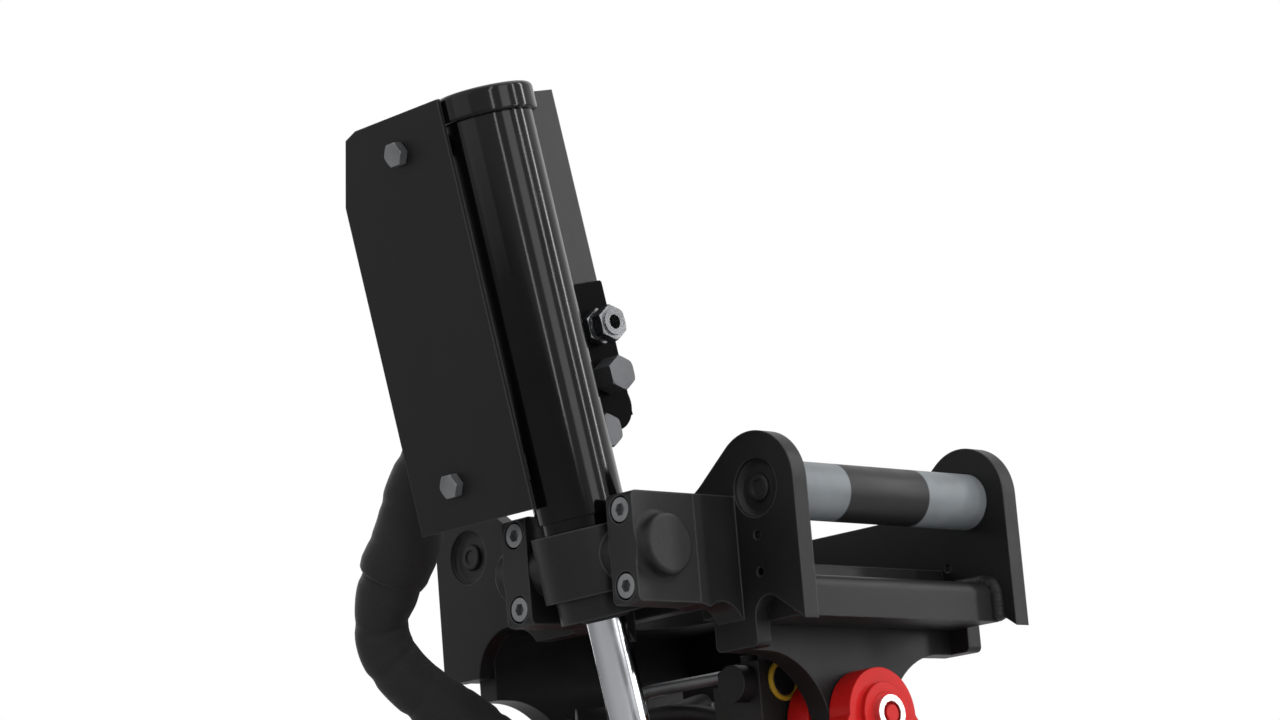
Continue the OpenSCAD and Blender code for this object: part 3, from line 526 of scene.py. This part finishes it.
# Painted shade: a darker, duller copy of the black coat for the port block, which sits in shade under the
# guard's back plate.
SHADED_BLOCK_BLACK = Finish("block_black_painted_shade", (0.0020, 0.0020, 0.0022), 0.5, specular=0.02, grain=1200.0,
                     depth=0.08)
GLOSS_BLACK = Finish("gloss_black_paint", (0.0025, 0.0025, 0.0028), 0.11, specular=0.16, coat=0.08,
                     grain=420.0, depth=0.010, mottle=0.05, edge_light=0.1)
RED_PAINT = Finish("red_paint", (0.48, 0.011, 0.010), 0.38, specular=0.12, coat=0.03, grain=800.0,
                   depth=0.07, mottle=0.06, edge_light=0.04, edge_radius=1.6 * MM)
RUBBER_BLACK = Finish("rubber_black", (0.013, 0.013, 0.0135), 0.55, specular=0.2, grain=600.0, depth=0.14,
                      edge_light=0.0)
MOULDED_BLACK = Finish("moulded_black", (0.008, 0.008, 0.009), 0.5, specular=0.2, grain=1100.0, depth=0.1)
SEAL_YELLOW = Finish("seal_yellow", (0.40, 0.25, 0.02), 0.5, specular=0.2, grain=1500.0, depth=0.05,
                     edge_light=0.0)
SEAL_BLACK = Finish("seal_black", (0.010, 0.010, 0.011), 0.62, specular=0.2, grain=1500.0, depth=0.05,
                    edge_light=0.0)
# Painted shade: the valve block's metal is darkened to near black to stand in for the shade it sits in behind
# the rod.
SHADED_VALVE_METAL = Finish("valve_metal", (0.020, 0.0195, 0.019), 0.46, metallic=0.1, specular=0.14, grain=900.0,
                     depth=0.12, edge_light=0.3)
PIN_GREY = BandedPin("pin_grey", (0.145, 0.159, 0.170), 0.42, metallic=0.05, specular=0.2, depth=0.10,
                     mottle=0.14, edge_light=0.15)
GROUND_STEEL = Machined("ground_steel", (0.24, 0.25, 0.26), 0.34, metallic=0.85, depth=0.10, mottle=0.1,
                        stretch=(90.0, 900.0, 900.0))
HARD_CHROME = Machined("hard_chrome", (0.44, 0.45, 0.47), 0.10, metallic=1.0, depth=0.01, mottle=0.02,
                       edge_light=0.0, stretch=(900.0, 900.0, 50.0))
BRIGHT_ZINC = Machined("bright_zinc", (0.17, 0.173, 0.18), 0.25, metallic=0.9, depth=0.06, mottle=0.10,
                       edge_light=0.5, edge_radius=0.6 * MM, stretch=(420.0, 420.0, 420.0))
RING_CHROME = Machined("ring_chrome", (0.70, 0.70, 0.71), 0.22, metallic=1.0, depth=0.05, mottle=0.06,
                       edge_light=0.0, edge_radius=0.8 * MM, stretch=(60.0, 800.0, 800.0))
DULL_ZINC = Machined("dull_zinc", (0.17, 0.175, 0.18), 0.42, metallic=0.6, specular=0.25, depth=0.10,
                     mottle=0.25, edge_light=0.6, edge_radius=0.6 * MM, stretch=(520.0, 520.0, 520.0))
GREY_ZINC = Machined("grey_zinc", (0.092, 0.094, 0.099), 0.46, metallic=0.5, specular=0.2, depth=0.10,
                     mottle=0.2, edge_light=0.7, edge_radius=0.6 * MM, stretch=(520.0, 520.0, 520.0))
BRONZE = Machined("bronze", (0.40, 0.26, 0.10), 0.3, metallic=0.95, depth=0.08,
                  stretch=(60.0, 800.0, 800.0))
SLEEVE_CLOTH = Woven("sleeve_cloth", (0.0150, 0.0150, 0.0154), 0.66, specular=0.16, grain=300.0, depth=0.40)

NODE_FINISHES: dict[Finish, tuple[str, ...]] = {
    SATIN_BLACK: ("side_plate_near", "side_plate_far", "tongue_front", "tongue_rear", "beam_front",
                  "beam_rear", "deck", "hitch_top_plate", "hitch_side_near", "hitch_side_far", "hitch_beam",
                  "lock_housing"),
    CAST_BLACK: ("block_front", "block_rear", "collar", "gland", "worm_cap", "rotor_motor", "swivel_cap",
                 "hose_socket"),
    SHEET_BLACK: ("guard_front_plate", "guard_spacers"),
    LIT_BACK_SHEET: ("guard_back_plate",),
    SHADED_BLOCK_BLACK: ("port_block",),
    GLOSS_BLACK: ("barrel", "end_cap"),
    RED_PAINT: ("housing", "tilt_shaft_front", "tilt_shaft_rear"),
    MOULDED_BLACK: ("solenoids",),
    SEAL_YELLOW: ("valve_ring",),
    SHADED_VALVE_METAL: ("valve_block",),
    PIN_GREY: ("pin_front", "pin_rear"),
    GROUND_STEEL: ("rod_pin", "lock_bars", "rotor_flange", "rod_eye", "piston"),
    HARD_CHROME: ("rod",),
    BRIGHT_ZINC: ("port_adapter",),
    RING_CHROME: ("shaft_nut_front", "shaft_nut_rear"),
    DULL_ZINC: ("block_screws", "guard_bolts", "steel_pipe", "flange_bolts"),
    GREY_ZINC: ("port_plugs",),
    BRONZE: ("tilt_bush_front", "tilt_bush_rear", "trunnion_bush_front", "trunnion_bush_rear"),
    SLEEVE_CLOTH: ("hose_sleeve_upper", "hose_sleeve_lower"),
}


def metres(point: Sequence[float]) -> Vector:
    """A point in millimetres as a vector in metres."""
    return Vector(point) * MM


def new_piece(name: str, mesh: bmesh.types.BMesh, finish: Finish) -> bpy.types.Object:
    """Makes a piece from a finished mesh.

    Args:
        name: the piece's name.
        mesh: its mesh, in metres in the model's frame, which is freed.
        finish: its finish.

    Returns:
        The linked object.
    """
    bmesh.ops.recalc_face_normals(mesh, faces=mesh.faces)
    for face in mesh.faces:
        face.smooth = True
    data = bpy.data.meshes.new(name)
    mesh.to_mesh(data)
    mesh.free()
    data.materials.append(finish.material())
    piece = bpy.data.objects.new(name, data)
    bpy.context.scene.collection.objects.link(piece)
    LOG.info("%s: %d faces", name, len(data.polygons))
    return piece


def curve_through(points: Sequence[Point], steps: int) -> list[Vector]:
    """A smooth curve through points, a Catmull-Rom spline.

    Args:
        points: what it passes through, in millimetres.
        steps: how many samples each stretch gets.

    Returns:
        The samples, in metres.
    """
    given = [metres(point) for point in points]
    given = [given[0] * 2 - given[1], *given, given[-1] * 2 - given[-2]]
    samples = []
    for i in range(1, len(given) - 2):
        a, b, c, d = given[i - 1:i + 3]
        for k in range(steps):
            t = k / steps
            samples.append(0.5 * (2 * b + (c - a) * t + (2 * a - 5 * b + 4 * c - d) * t * t
                                  + (3 * b - a - 3 * c + d) * t ** 3))
    return [*samples, given[-2]]


def sweep(path: Sequence[Vector], sides: int, radius: Callable[[float, float, int], float], across: Vector,
          yarns: tuple[float, float] | None = None) -> bmesh.types.BMesh:
    """Sweeps a closed tube along a path.

    Args:
        path: the path's samples.
        sides: how many points each ring has.
        radius: gives the radius from the share of the length, the angle and the ring's number.
        across: a direction that the rings' zero angle starts near.
        yarns: how many yarns run round and along the tube, for its UV map.

    Returns:
        The tube's mesh, with both ends closed.
    """
    mesh = bmesh.new()
    lengths = [0.0]
    for a, b in zip(path, path[1:]):
        lengths.append(lengths[-1] + (b - a).length)
    rings = []
    side = across
    for i, at in enumerate(path):
        heading = (path[min(i + 1, len(path) - 1)] - path[max(i - 1, 0)]).normalized()
        side = (side - heading * side.dot(heading)).normalized()
        up = heading.cross(side)
        ring = []
        for k in range(sides):
            angle = math.tau * k / sides
            reach = radius(lengths[i] / lengths[-1], angle, i)
            ring.append(mesh.verts.new(at + (side * math.cos(angle) + up * math.sin(angle)) * reach))
        rings.append(ring)
    uv = mesh.loops.layers.uv.new("yarns") if yarns else None
    for i, (low, high) in enumerate(zip(rings, rings[1:])):
        for k in range(sides):
            after = (k + 1) % sides
            face = mesh.faces.new((low[k], low[after], high[after], high[k]))
            if uv:
                for loop, (u, v) in zip(face.loops, ((k, i), (k + 1, i), (k + 1, i + 1), (k, i + 1))):
                    loop[uv].uv = (u / sides * yarns[0], lengths[v] / lengths[-1] * yarns[1])
    mesh.faces.new(rings[0])
    mesh.faces.new(rings[-1])
    return mesh


def turned(profile: Sequence[tuple[float, float]], at: Vector, axis: Vector,
           sides: int = 64) -> bmesh.types.BMesh:
    """Turns a closed profile about an axis, as on a lathe.

    Args:
        profile: radius and height pairs in millimetres, in order round the section.
        at: where height 0 lies on the axis, in metres.
        axis: the axis' direction.
        sides: how many steps the turn has.

    Returns:
        The turned ring's mesh.
    """
    mesh = bmesh.new()
    side = axis.orthogonal().normalized()
    up = axis.cross(side)
    rings = []
    for k in range(sides):
        out = side * math.cos(math.tau * k / sides) + up * math.sin(math.tau * k / sides)
        rings.append([mesh.verts.new(at + out * (r * MM) + axis * (h * MM)) for r, h in profile])
    for a, b in zip(rings, [*rings[1:], rings[0]]):
        for j in range(len(profile)):
            after = (j + 1) % len(profile)
            mesh.faces.new((a[j], a[after], b[after], b[j]))
    return mesh


@dataclass(frozen=True)
class Folds:
    """A woven sleeve's creases, soft waves and flattening: sizes in millimetres, rates in radians a length."""

    depth: float
    phase: float
    end_fade: float = 8.0
    crease_rate: float = 46.0
    crease_lean: float = 1.3
    crease_share: float = 1.5
    crease_even: float = 0.55
    twist: float = 2.2
    twist_rate: float = 5.1
    wave_share: float = 0.6
    waves: tuple[float, float] = (0.5, 0.35)
    wave_rates: tuple[float, float] = (19.0, 27.0)
    oval: float = 0.9
    oval_start: float = 0.8
    oval_rate: float = 2.0

    def offset(self, share: float, angle: float) -> float:
        """How far the cloth lies off its round girth.

        Args:
            share: the share of the sleeve's length.
            angle: the angle round it.

        Returns:
            The distance in millimetres, outwards.
        """
        fade = min(1.0, self.end_fade * share, self.end_fade * (1 - share))
        turn = angle + self.twist * math.sin(self.twist_rate * share + self.phase)
        lean = self.crease_lean * math.sin(angle + self.phase)
        crease = math.sin(self.crease_rate * share + lean + self.phase)
        deep = max(0.0, crease) ** 3 * (self.crease_even + (1 - self.crease_even) * math.cos(turn))
        soft = (self.waves[0] * math.sin(self.wave_rates[0] * share + 2 * angle + self.phase)
                + self.waves[1] * math.sin(3 * angle - self.wave_rates[1] * share))
        flat = self.oval * math.cos(2 * angle + self.oval_start + self.oval_rate * share)
        return flat + fade * self.depth * (self.wave_share * soft - self.crease_share * deep)


@dataclass
class HoseSleeve:
    """The woven sleeve over the hoses: two lapped lengths that cross the joints."""

    upper: tuple[Point, ...] = (
        (66.7, -164.5, 530), (52, -164.5, 530), (35, -176, 528), (14, -191, 521), (-14, -199, 510),
        (-46, -202, 493), (-75, -201.5, 467), (-95, -199.5, 435), (-112.5, -202.5, 410))
    lower: tuple[Point, ...] = (
        (-109, -202, 413), (-126, -201, 388), (-133, -195, 367), (-128.5, -183.5, 345), (-117.5, -168.5, 326),
        (-101.5, -148.5, 306.5), (-86, -126, 288), (-70, -103, 283), (-56, -86, 287))
    upper_girth: tuple[tuple[float, float], ...] = (
        (0.0, 21.5), (0.2, 22.0), (0.5, 22.5), (0.78, 23.5), (0.88, 25.0), (0.965, 25.2), (0.99, 24.2),
        (1.0, 22.3))
    lower_girth: tuple[tuple[float, float], ...] = (
        (0.0, 21.0), (0.06, 21.5), (0.16, 18.5), (0.30, 20.0), (0.45, 19.8), (0.56, 20.5), (0.66, 19.5),
        (0.8, 16.5), (1.0, 17.0))
    upper_folds: Folds = Folds(0.7, 3.1)
    lower_folds: Folds = Folds(0.9, 0.4)
    give: float = 1.12
    sides: int = 48
    steps: int = 18
    yarns: tuple[float, float] = (96.0, 190.0)

    def build(self) -> None:
        """Makes both lengths along their routes past the barrel, the bracket and the housing, in place of the
        imported sleeve nodes.
        """
        top = self._length("hose_sleeve_cloth_upper", self.upper, self.upper_girth, self.upper_folds)
        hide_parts("hose_sleeve_upper")
        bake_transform(top)
        low = self._length("hose_sleeve_cloth_lower", self.lower, self.lower_girth, self.lower_folds)
        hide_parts("hose_sleeve_lower")
        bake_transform(low)

    def _length(self, name: str, points: Sequence[Point], girth: Sequence[tuple[float, float]],
                folds: Folds) -> bpy.types.Object:
        """Sweeps one length of the sleeve.

        Args:
            name: the piece's name.
            points: the route in millimetres.
            girth: pairs of the share of the length and the radius in millimetres.
            folds: its creases and waves.

        Returns:
            The piece.
        """
        def radius(share: float, angle: float, ring: int) -> float:
            """The folded cloth's radius."""
            return (self._round(girth, share) + folds.offset(share, angle)) * MM

        path = curve_through(points, self.steps)
        mesh = sweep(path, self.sides, radius, Vector((0, 0, 1)), self.yarns)
        return new_piece(name, mesh, SLEEVE_CLOTH)

    @staticmethod
    def _round(girth: Sequence[tuple[float, float]], share: float) -> float:
        """The radius of the smooth sleeve.

        Args:
            girth: pairs of the share of the length and the radius.
            share: the share of the length.

        Returns:
            The radius, eased from each pair to the next.
        """
        for (start, low), (end, high) in zip(girth, girth[1:]):
            if share <= end:
                t = (share - start) / (end - start)
                return low + (high - low) * t * t * (3 - 2 * t)
        return girth[-1][1]


@dataclass
class WeldSeam:
    """One weld bead laid along a run of points, with the ripple of its passes."""

    name: str
    body: Body
    runs: tuple[tuple[Point, ...], ...]
    size: float = 3.2
    pitch: float = 2.6
    step: float = 0.65
    ripple: float = 0.20
    lean: float = 0.18
    tip: float = 0.35
    waver: float = 0.12
    waver_rate: float = 0.37
    sides: int = 8
    finish: Finish = SATIN_BLACK
    slot: str = "satin_black"

    def build(self) -> None:
        """Lays every run and rides the bead on its body."""
        mesh = bmesh.new()
        for run in self.runs:
            part = self._run([metres(point) for point in run])
            data = bpy.data.meshes.new("run")
            part.to_mesh(data)
            part.free()
            mesh.from_mesh(data)
            bpy.data.meshes.remove(data)
        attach(new_piece(self.name, mesh, self.finish), self.body.value)

    def _run(self, corners: Sequence[Vector]) -> bmesh.types.BMesh:
        """Lays one run of the bead.

        Args:
            corners: the run's corners, in metres.

        Returns:
            The bead's mesh.
        """
        path = []
        for a, b in zip(corners, corners[1:]):
            count = max(2, round((b - a).length / (self.step * MM)))
            path += [a.lerp(b, k / count) for k in range(count)]
        path.append(corners[-1])
        per_ripple = self.pitch / self.step

        def radius(share: float, angle: float, ring: int) -> float:
            """The bead's radius, rippled and drawn in at its ends.

            Args:
                share: the share of the run's length.
                angle: the angle round the bead.
                ring: the ring's number.

            Returns:
                The radius in metres.
            """
            ends = min(1.0, self.tip + ring / per_ripple, self.tip + (len(path) - 1 - ring) / per_ripple)
            ripple = abs(math.sin(math.pi * (ring / per_ripple + self.lean * math.cos(angle))))
            bead = self.size * (1 - self.ripple + self.ripple * ripple) * ends
            return (bead + self.waver * math.sin(self.waver_rate * ring)) * MM

        aslant = Vector((0.3, 0.2, 1))
        return sweep(path, self.sides, radius, aslant)


@dataclass
class Bracket:
    """The upper bracket's welds: its beams, tongues and deck between the side plates."""

    plate_y: float = 100.0
    deck_top: float = 387.0
    beam_low: float = 343.5
    beam_top: float = 372.0
    beam_front: tuple[float, float] = (148.0, 190.0)
    round_edge: float = 8.0
    round_middle: float = 2.6
    deck_run: float = 121.0
    deck_end: float = 123.5
    deck_across: float = 97.0

    def build(self) -> None:
        """Lays the bracket's welds."""
        x0, x1 = self.beam_front
        top, edge, mid = self.beam_top, self.round_edge, self.round_middle
        beams, decks = [], []
        for side in (-1, 1):
            y = side * self.plate_y
            beams.append(((x1, y, self.beam_low), (x1, y, top - edge), (x1 - mid, y, top - mid),
                          (x1 - edge, y, top), (x0 + edge, y, top), (x0 + mid, y, top - mid),
                          (x0, y, top - edge), (x0, y, self.beam_low)))
            decks.append(((-self.deck_run, y, self.deck_top), (self.deck_run, y, self.deck_top)))
        decks += [((x, -self.deck_across, self.deck_top), (x, self.deck_across, self.deck_top))
                  for x in (-self.deck_end, self.deck_end)]
        WeldSeam("beam_welds", Body.BRACKET, tuple(beams), size=6.5, pitch=3.2, ripple=0.04).build()
        WeldSeam("deck_welds", Body.BRACKET, tuple(decks), size=2.8).build()


@dataclass
class TiltCylinder:
    """The tilt cylinder's small fittings: the rod's wiper and the back plate's stitch welds."""

    pivot: Point = (83.0, -187.0, 392.5)
    lean: float = 12.0
    gland_end: float = -38.0
    rod_r: float = 13.5
    flange_x: float = -13.0
    barrel_r: float = 31.0
    lip: tuple[tuple[float, float], ...] = ((0.1, 0.4), (0.1, -1.6), (1.0, -2.2), (2.6, -1.2), (3.0, 0.4))
    stitch_starts: tuple[float, ...] = (194.0, 232.0, 270.0)
    stitch_length: float = 26.0

    def _place(self, x: float, y: float, s: float) -> Vector:
        """A point beside the cylinder.

        Args:
            x: how far across it, in millimetres.
            y: how far in front of it, in millimetres.
            s: how far along it, in millimetres.

        Returns:
            The point in the model's frame, in metres.
        """
        tilt = math.radians(self.lean)
        return metres((self.pivot[0] + x, self.pivot[1] + y * math.cos(tilt) - s * math.sin(tilt),
                       self.pivot[2] + y * math.sin(tilt) + s * math.cos(tilt)))

    def build(self) -> None:
        """Makes the wiper and the stitch welds."""
        gland = self._place(0, 0, self.gland_end)
        axis = (self._place(0, 0, 0) - gland).normalized()
        section = [(self.rod_r + out, high) for out, high in self.lip]
        wiper = new_piece("rod_wiper", turned(section, gland, axis), SEAL_BLACK)
        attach(wiper, Body.BARREL.value)
        y = math.sqrt(self.barrel_r ** 2 - self.flange_x ** 2)
        stitches = []
        for start in self.stitch_starts:
            ends = (self._place(self.flange_x, y, s) / MM for s in (start, start + self.stitch_length))
            stitches.append(tuple(tuple(end) for end in ends))
        WeldSeam("guard_stitches", Body.BARREL, tuple(stitches), size=2.2, finish=SHEET_BLACK).build()


@dataclass
class DrumHoses:
    """The hoses that leave the sleeve's socket for the valve blocks on the drum, with crimped ends."""

    routes: tuple[tuple[Point, ...], ...] = (
        ((-45, -72, 291), (-36, -62, 294), (-14, -50, 300), (14, -38, 299), (38, -31, 293), (52, -30, 291)),
        ((-47, -69, 285), (-34, -50, 290), (-24, -28, 300), (-32, -4, 308), (-55, 18, 310), (-66, 32, 308),
         (-67, 39, 308)),
        ((-43, -67, 290), (-28, -46, 297), (-12, -24, 305), (-16, 2, 311), (-36, 20, 311), (-44, 32, 308),
         (-45, 39, 308)))
    hose_r: float = 6.6
    hose_sides: int = 20
    hose_steps: int = 12
    crimp_r: float = 8.6
    crimp_l: float = 13.0
    crimp_sides: int = 40
    crimp_grip: float = 0.4
    low_bevel: tuple[float, float] = (0.9, 0.8)
    high_bevel: tuple[float, float] = (0.8, 1.0)
    groove_starts: tuple[float, ...] = (1.5, 4.9, 8.3)
    groove_depth: float = 0.8
    groove_slope: float = 0.6
    groove_width: float = 2.4

    def build(self) -> None:
        """Makes every hose and its crimped end, riding on the housing."""
        for number, route in enumerate(self.routes, start=1):
            path = curve_through(route, self.hose_steps)
            hose = sweep(path, self.hose_sides, self._radius, Vector((0, 0, 1)))
            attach(new_piece(f"drum_hose_{number}", hose, RUBBER_BLACK), Body.HOUSING.value)
            axis = (path[-2] - path[-1]).normalized()
            ring = turned(self._crimp(), path[-1], axis, self.crimp_sides)
            crimp = new_piece(f"hose_crimp_{number}", ring, DULL_ZINC)
            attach(crimp, Body.HOUSING.value)

    def _radius(self, share: float, angle: float, ring: int) -> float:
        """The hose's radius, the same all along it and round it."""
        return self.hose_r * MM

    def _crimp(self) -> list[tuple[float, float]]:
        """Draws the grooved section of a crimped end.

        Returns:
            Its radius and height pairs, in millimetres.
        """
        r, floor, bore = self.crimp_r, self.crimp_r - self.groove_depth, self.hose_r - self.crimp_grip
        section = [(r - self.low_bevel[0], 0.0), (r, self.low_bevel[1])]
        for low in self.groove_starts:
            high = low + self.groove_width
            section += [(r, low), (floor, low + self.groove_slope)]
            section += [(floor, high - self.groove_slope), (r, high)]
        section += [(r, self.crimp_l - self.high_bevel[1]), (r - self.high_bevel[0], self.crimp_l)]
        return [*section, (bore, self.crimp_l), (bore, 0.0)]


@dataclass
class LowerHitch:
    """The lower hitch's welds: its sides under the top plate, and its cross beam."""

    inner_y: float = 76.0
    under: float = 108.0
    rear: float = -118.0
    beam: tuple[float, float] = (88.0, 122.0)
    beam_low: float = 30.0
    beam_gap: float = 3.0
    under_gap: float = 4.0

    def build(self) -> None:
        """Lays the hitch's welds."""
        runs = []
        for side in (-1, 1):
            y = side * self.inner_y
            runs.append(((self.rear, y, self.under), (self.beam[0] - self.beam_gap, y, self.under)))
            runs += [((x, y, self.beam_low), (x, y, self.under - self.under_gap)) for x in self.beam]
        WeldSeam("hitch_welds", Body.HITCH, tuple(runs), size=3.0).build()


@dataclass
class Studio:
    """The plain studio: a pale floor, soft lamps, a white backdrop and the camera."""

    eye: Point = (1.7767, -1.7577, 0.0657)
    turn: Point = (101.3556, 4.6546, 47.0118)
    lens: float = 97.09
    floor_size: float = 14.0
    floor_z: float = -0.0005
    floor_dark: Colour = (0.76, 0.76, 0.76)
    floor_pale: Colour = (0.8, 0.8, 0.8)
    middle: Point = (0.03, -0.06, 0.40)
    strip_reach: float = 2.0
    strip_height: float = 1.25
    strip_length: float = 2.0
    strips: tuple[tuple[float, float, float], ...] = ((-92, 1.50, 0.6), (-30, 0.11, 11.0), (-2, 0.72, 3.2),
                                                      (24, 0.10, 16.0), (51, 0.16, 16.0), (100, 0.30, 0.4),
                                                      (175, 0.50, 2.0))
    overhead: float = 1.0
    overhead_at: Point = (0.1, 0.1, 2.3)
    overhead_size: tuple[float, float] = (1.5, 1.5)
    sky_up: tuple[float, float, float, float] = (-0.2, 0.9, 0.10, 0.75)
    sky_right: tuple[float, float, float, float] = (-0.6, 0.9, 0.35, 1.0)

    def build(self) -> None:
        """Sets up the camera, the floor, the lamps and the world."""
        scene = bpy.context.scene
        scene.view_settings.view_transform = "Standard"
        self._camera(scene)
        self._floor()
        self._lamps()
        self._world(scene)

    def _camera(self, scene: bpy.types.Scene) -> None:
        """Places the camera where the picture was taken from.

        Args:
            scene: the scene that it is set in.
        """
        data = bpy.data.cameras.new("camera")
        data.sensor_fit = "HORIZONTAL"
        data.sensor_width = 36.0
        data.lens = self.lens
        data.clip_start = 0.05
        camera = bpy.data.objects.new("camera", data)
        camera.location = self.eye
        camera.rotation_euler = Euler([math.radians(angle) for angle in self.turn], "XYZ")
        scene.collection.objects.link(camera)
        scene.camera = camera

    def _floor(self) -> None:
        """Lays the pale floor."""
        half = self.floor_size / 2
        mesh = bmesh.new()
        mesh.faces.new([mesh.verts.new((x, y, self.floor_z)) for x, y in
                        ((-half, -half), (half, -half), (half, half), (-half, half))])
        data = bpy.data.meshes.new("floor")
        mesh.to_mesh(data)
        mesh.free()
        paint = bpy.data.materials.new("floor_paint")
        paint.use_nodes = True
        graph = Graph(paint.node_tree)
        shader = graph.add("BsdfPrincipled", Roughness=0.7)
        mottle = graph.add("TexNoise", Vector=graph.add("TexCoord").outputs["Object"], Scale=3.0)
        tone = graph.mix(mottle.outputs[0], self.floor_dark, self.floor_pale)
        graph.feed(shader.inputs["Base Color"], tone)
        graph.add("OutputMaterial", Surface=shader.outputs[0])
        data.materials.append(paint)
        floor = bpy.data.objects.new("floor", data)
        bpy.context.scene.collection.objects.link(floor)

    def _lamps(self) -> None:
        """Stands the strip lamps round the part and hangs a soft one over it, each aimed at the part."""
        for number, (bearing, width, radiance) in enumerate(self.strips, start=1):
            angle = math.radians(bearing)
            at = (self.strip_reach * math.cos(angle), self.strip_reach * math.sin(angle), self.strip_height)
            self._lamp(f"strip_{number}", at, (width, self.strip_length), radiance)
        self._lamp("overhead", self.overhead_at, self.overhead_size, self.overhead)

    def _lamp(self, name: str, at: Point, size: tuple[float, float], radiance: float) -> None:
        """Adds one lamp.

        Args:
            name: the lamp's name.
            at: where it stands, in metres.
            size: its width and height, in metres.
            radiance: how bright its face is, where 1 is white.
        """
        data = bpy.data.lights.new(name, "AREA")
        data.shape = "RECTANGLE"
        data.size, data.size_y = size
        data.energy = radiance * math.pi * size[0] * size[1]
        lamp = bpy.data.objects.new(name, data)
        lamp.location = at
        lamp.rotation_euler = (Vector(self.middle) - Vector(at)).to_track_quat("-Z", "Y").to_euler()
        lamp.visible_camera = False
        bpy.context.scene.collection.objects.link(lamp)

    def _world(self, scene: bpy.types.Scene) -> None:
        """Makes the world white to the eye and in mirrors, and a soft gradient to everything else.

        Args:
            scene: the scene that it is set in.
        """
        world = bpy.data.worlds.new("studio")
        scene.world = world
        world.use_nodes = True
        graph = Graph(world.node_tree)
        parts = graph.add("SeparateXYZ", Vector=graph.add("TexCoord").outputs["Generated"])
        high = graph.ramp(parts.outputs[2], *self.sky_up)
        right = graph.ramp(parts.outputs[0], *self.sky_right)
        soft = graph.add("Background", Strength=graph.math("MULTIPLY", high, right))
        white = graph.add("Background", Strength=1.0)
        soft.inputs["Color"].default_value = white.inputs["Color"].default_value = (1, 1, 1, 1)
        path = graph.add("LightPath").outputs
        seen = graph.math("MAXIMUM", path["Is Camera Ray"],
                          graph.math("MAXIMUM", path["Is Glossy Ray"], path["Is Transmission Ray"]))
        both = graph.add("MixShader", Fac=seen)
        graph.feed(both.inputs[1], soft.outputs[0])
        graph.feed(both.inputs[2], white.outputs[0])
        graph.add("OutputWorld", Surface=both.outputs[0])


def dress_nodes() -> None:
    """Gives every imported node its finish."""
    for finish, names in NODE_FINISHES.items():
        for name in names:
            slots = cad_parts[name].data.materials
            slots.clear()
            slots.append(finish.material())
            LOG.info("%s: %s", name, finish.name)


def main() -> None:
    """Builds the studio and every sub-assembly in order."""
    logging.basicConfig(level=logging.INFO, format="%(name)s %(message)s")
    dress_nodes()
    for part in (Studio(), HoseSleeve(), DrumHoses(), Bracket(), TiltCylinder(), LowerHitch()):
        LOG.info("building %s", type(part).__name__)
        part.build()


if __name__ == "__main__":
    main()
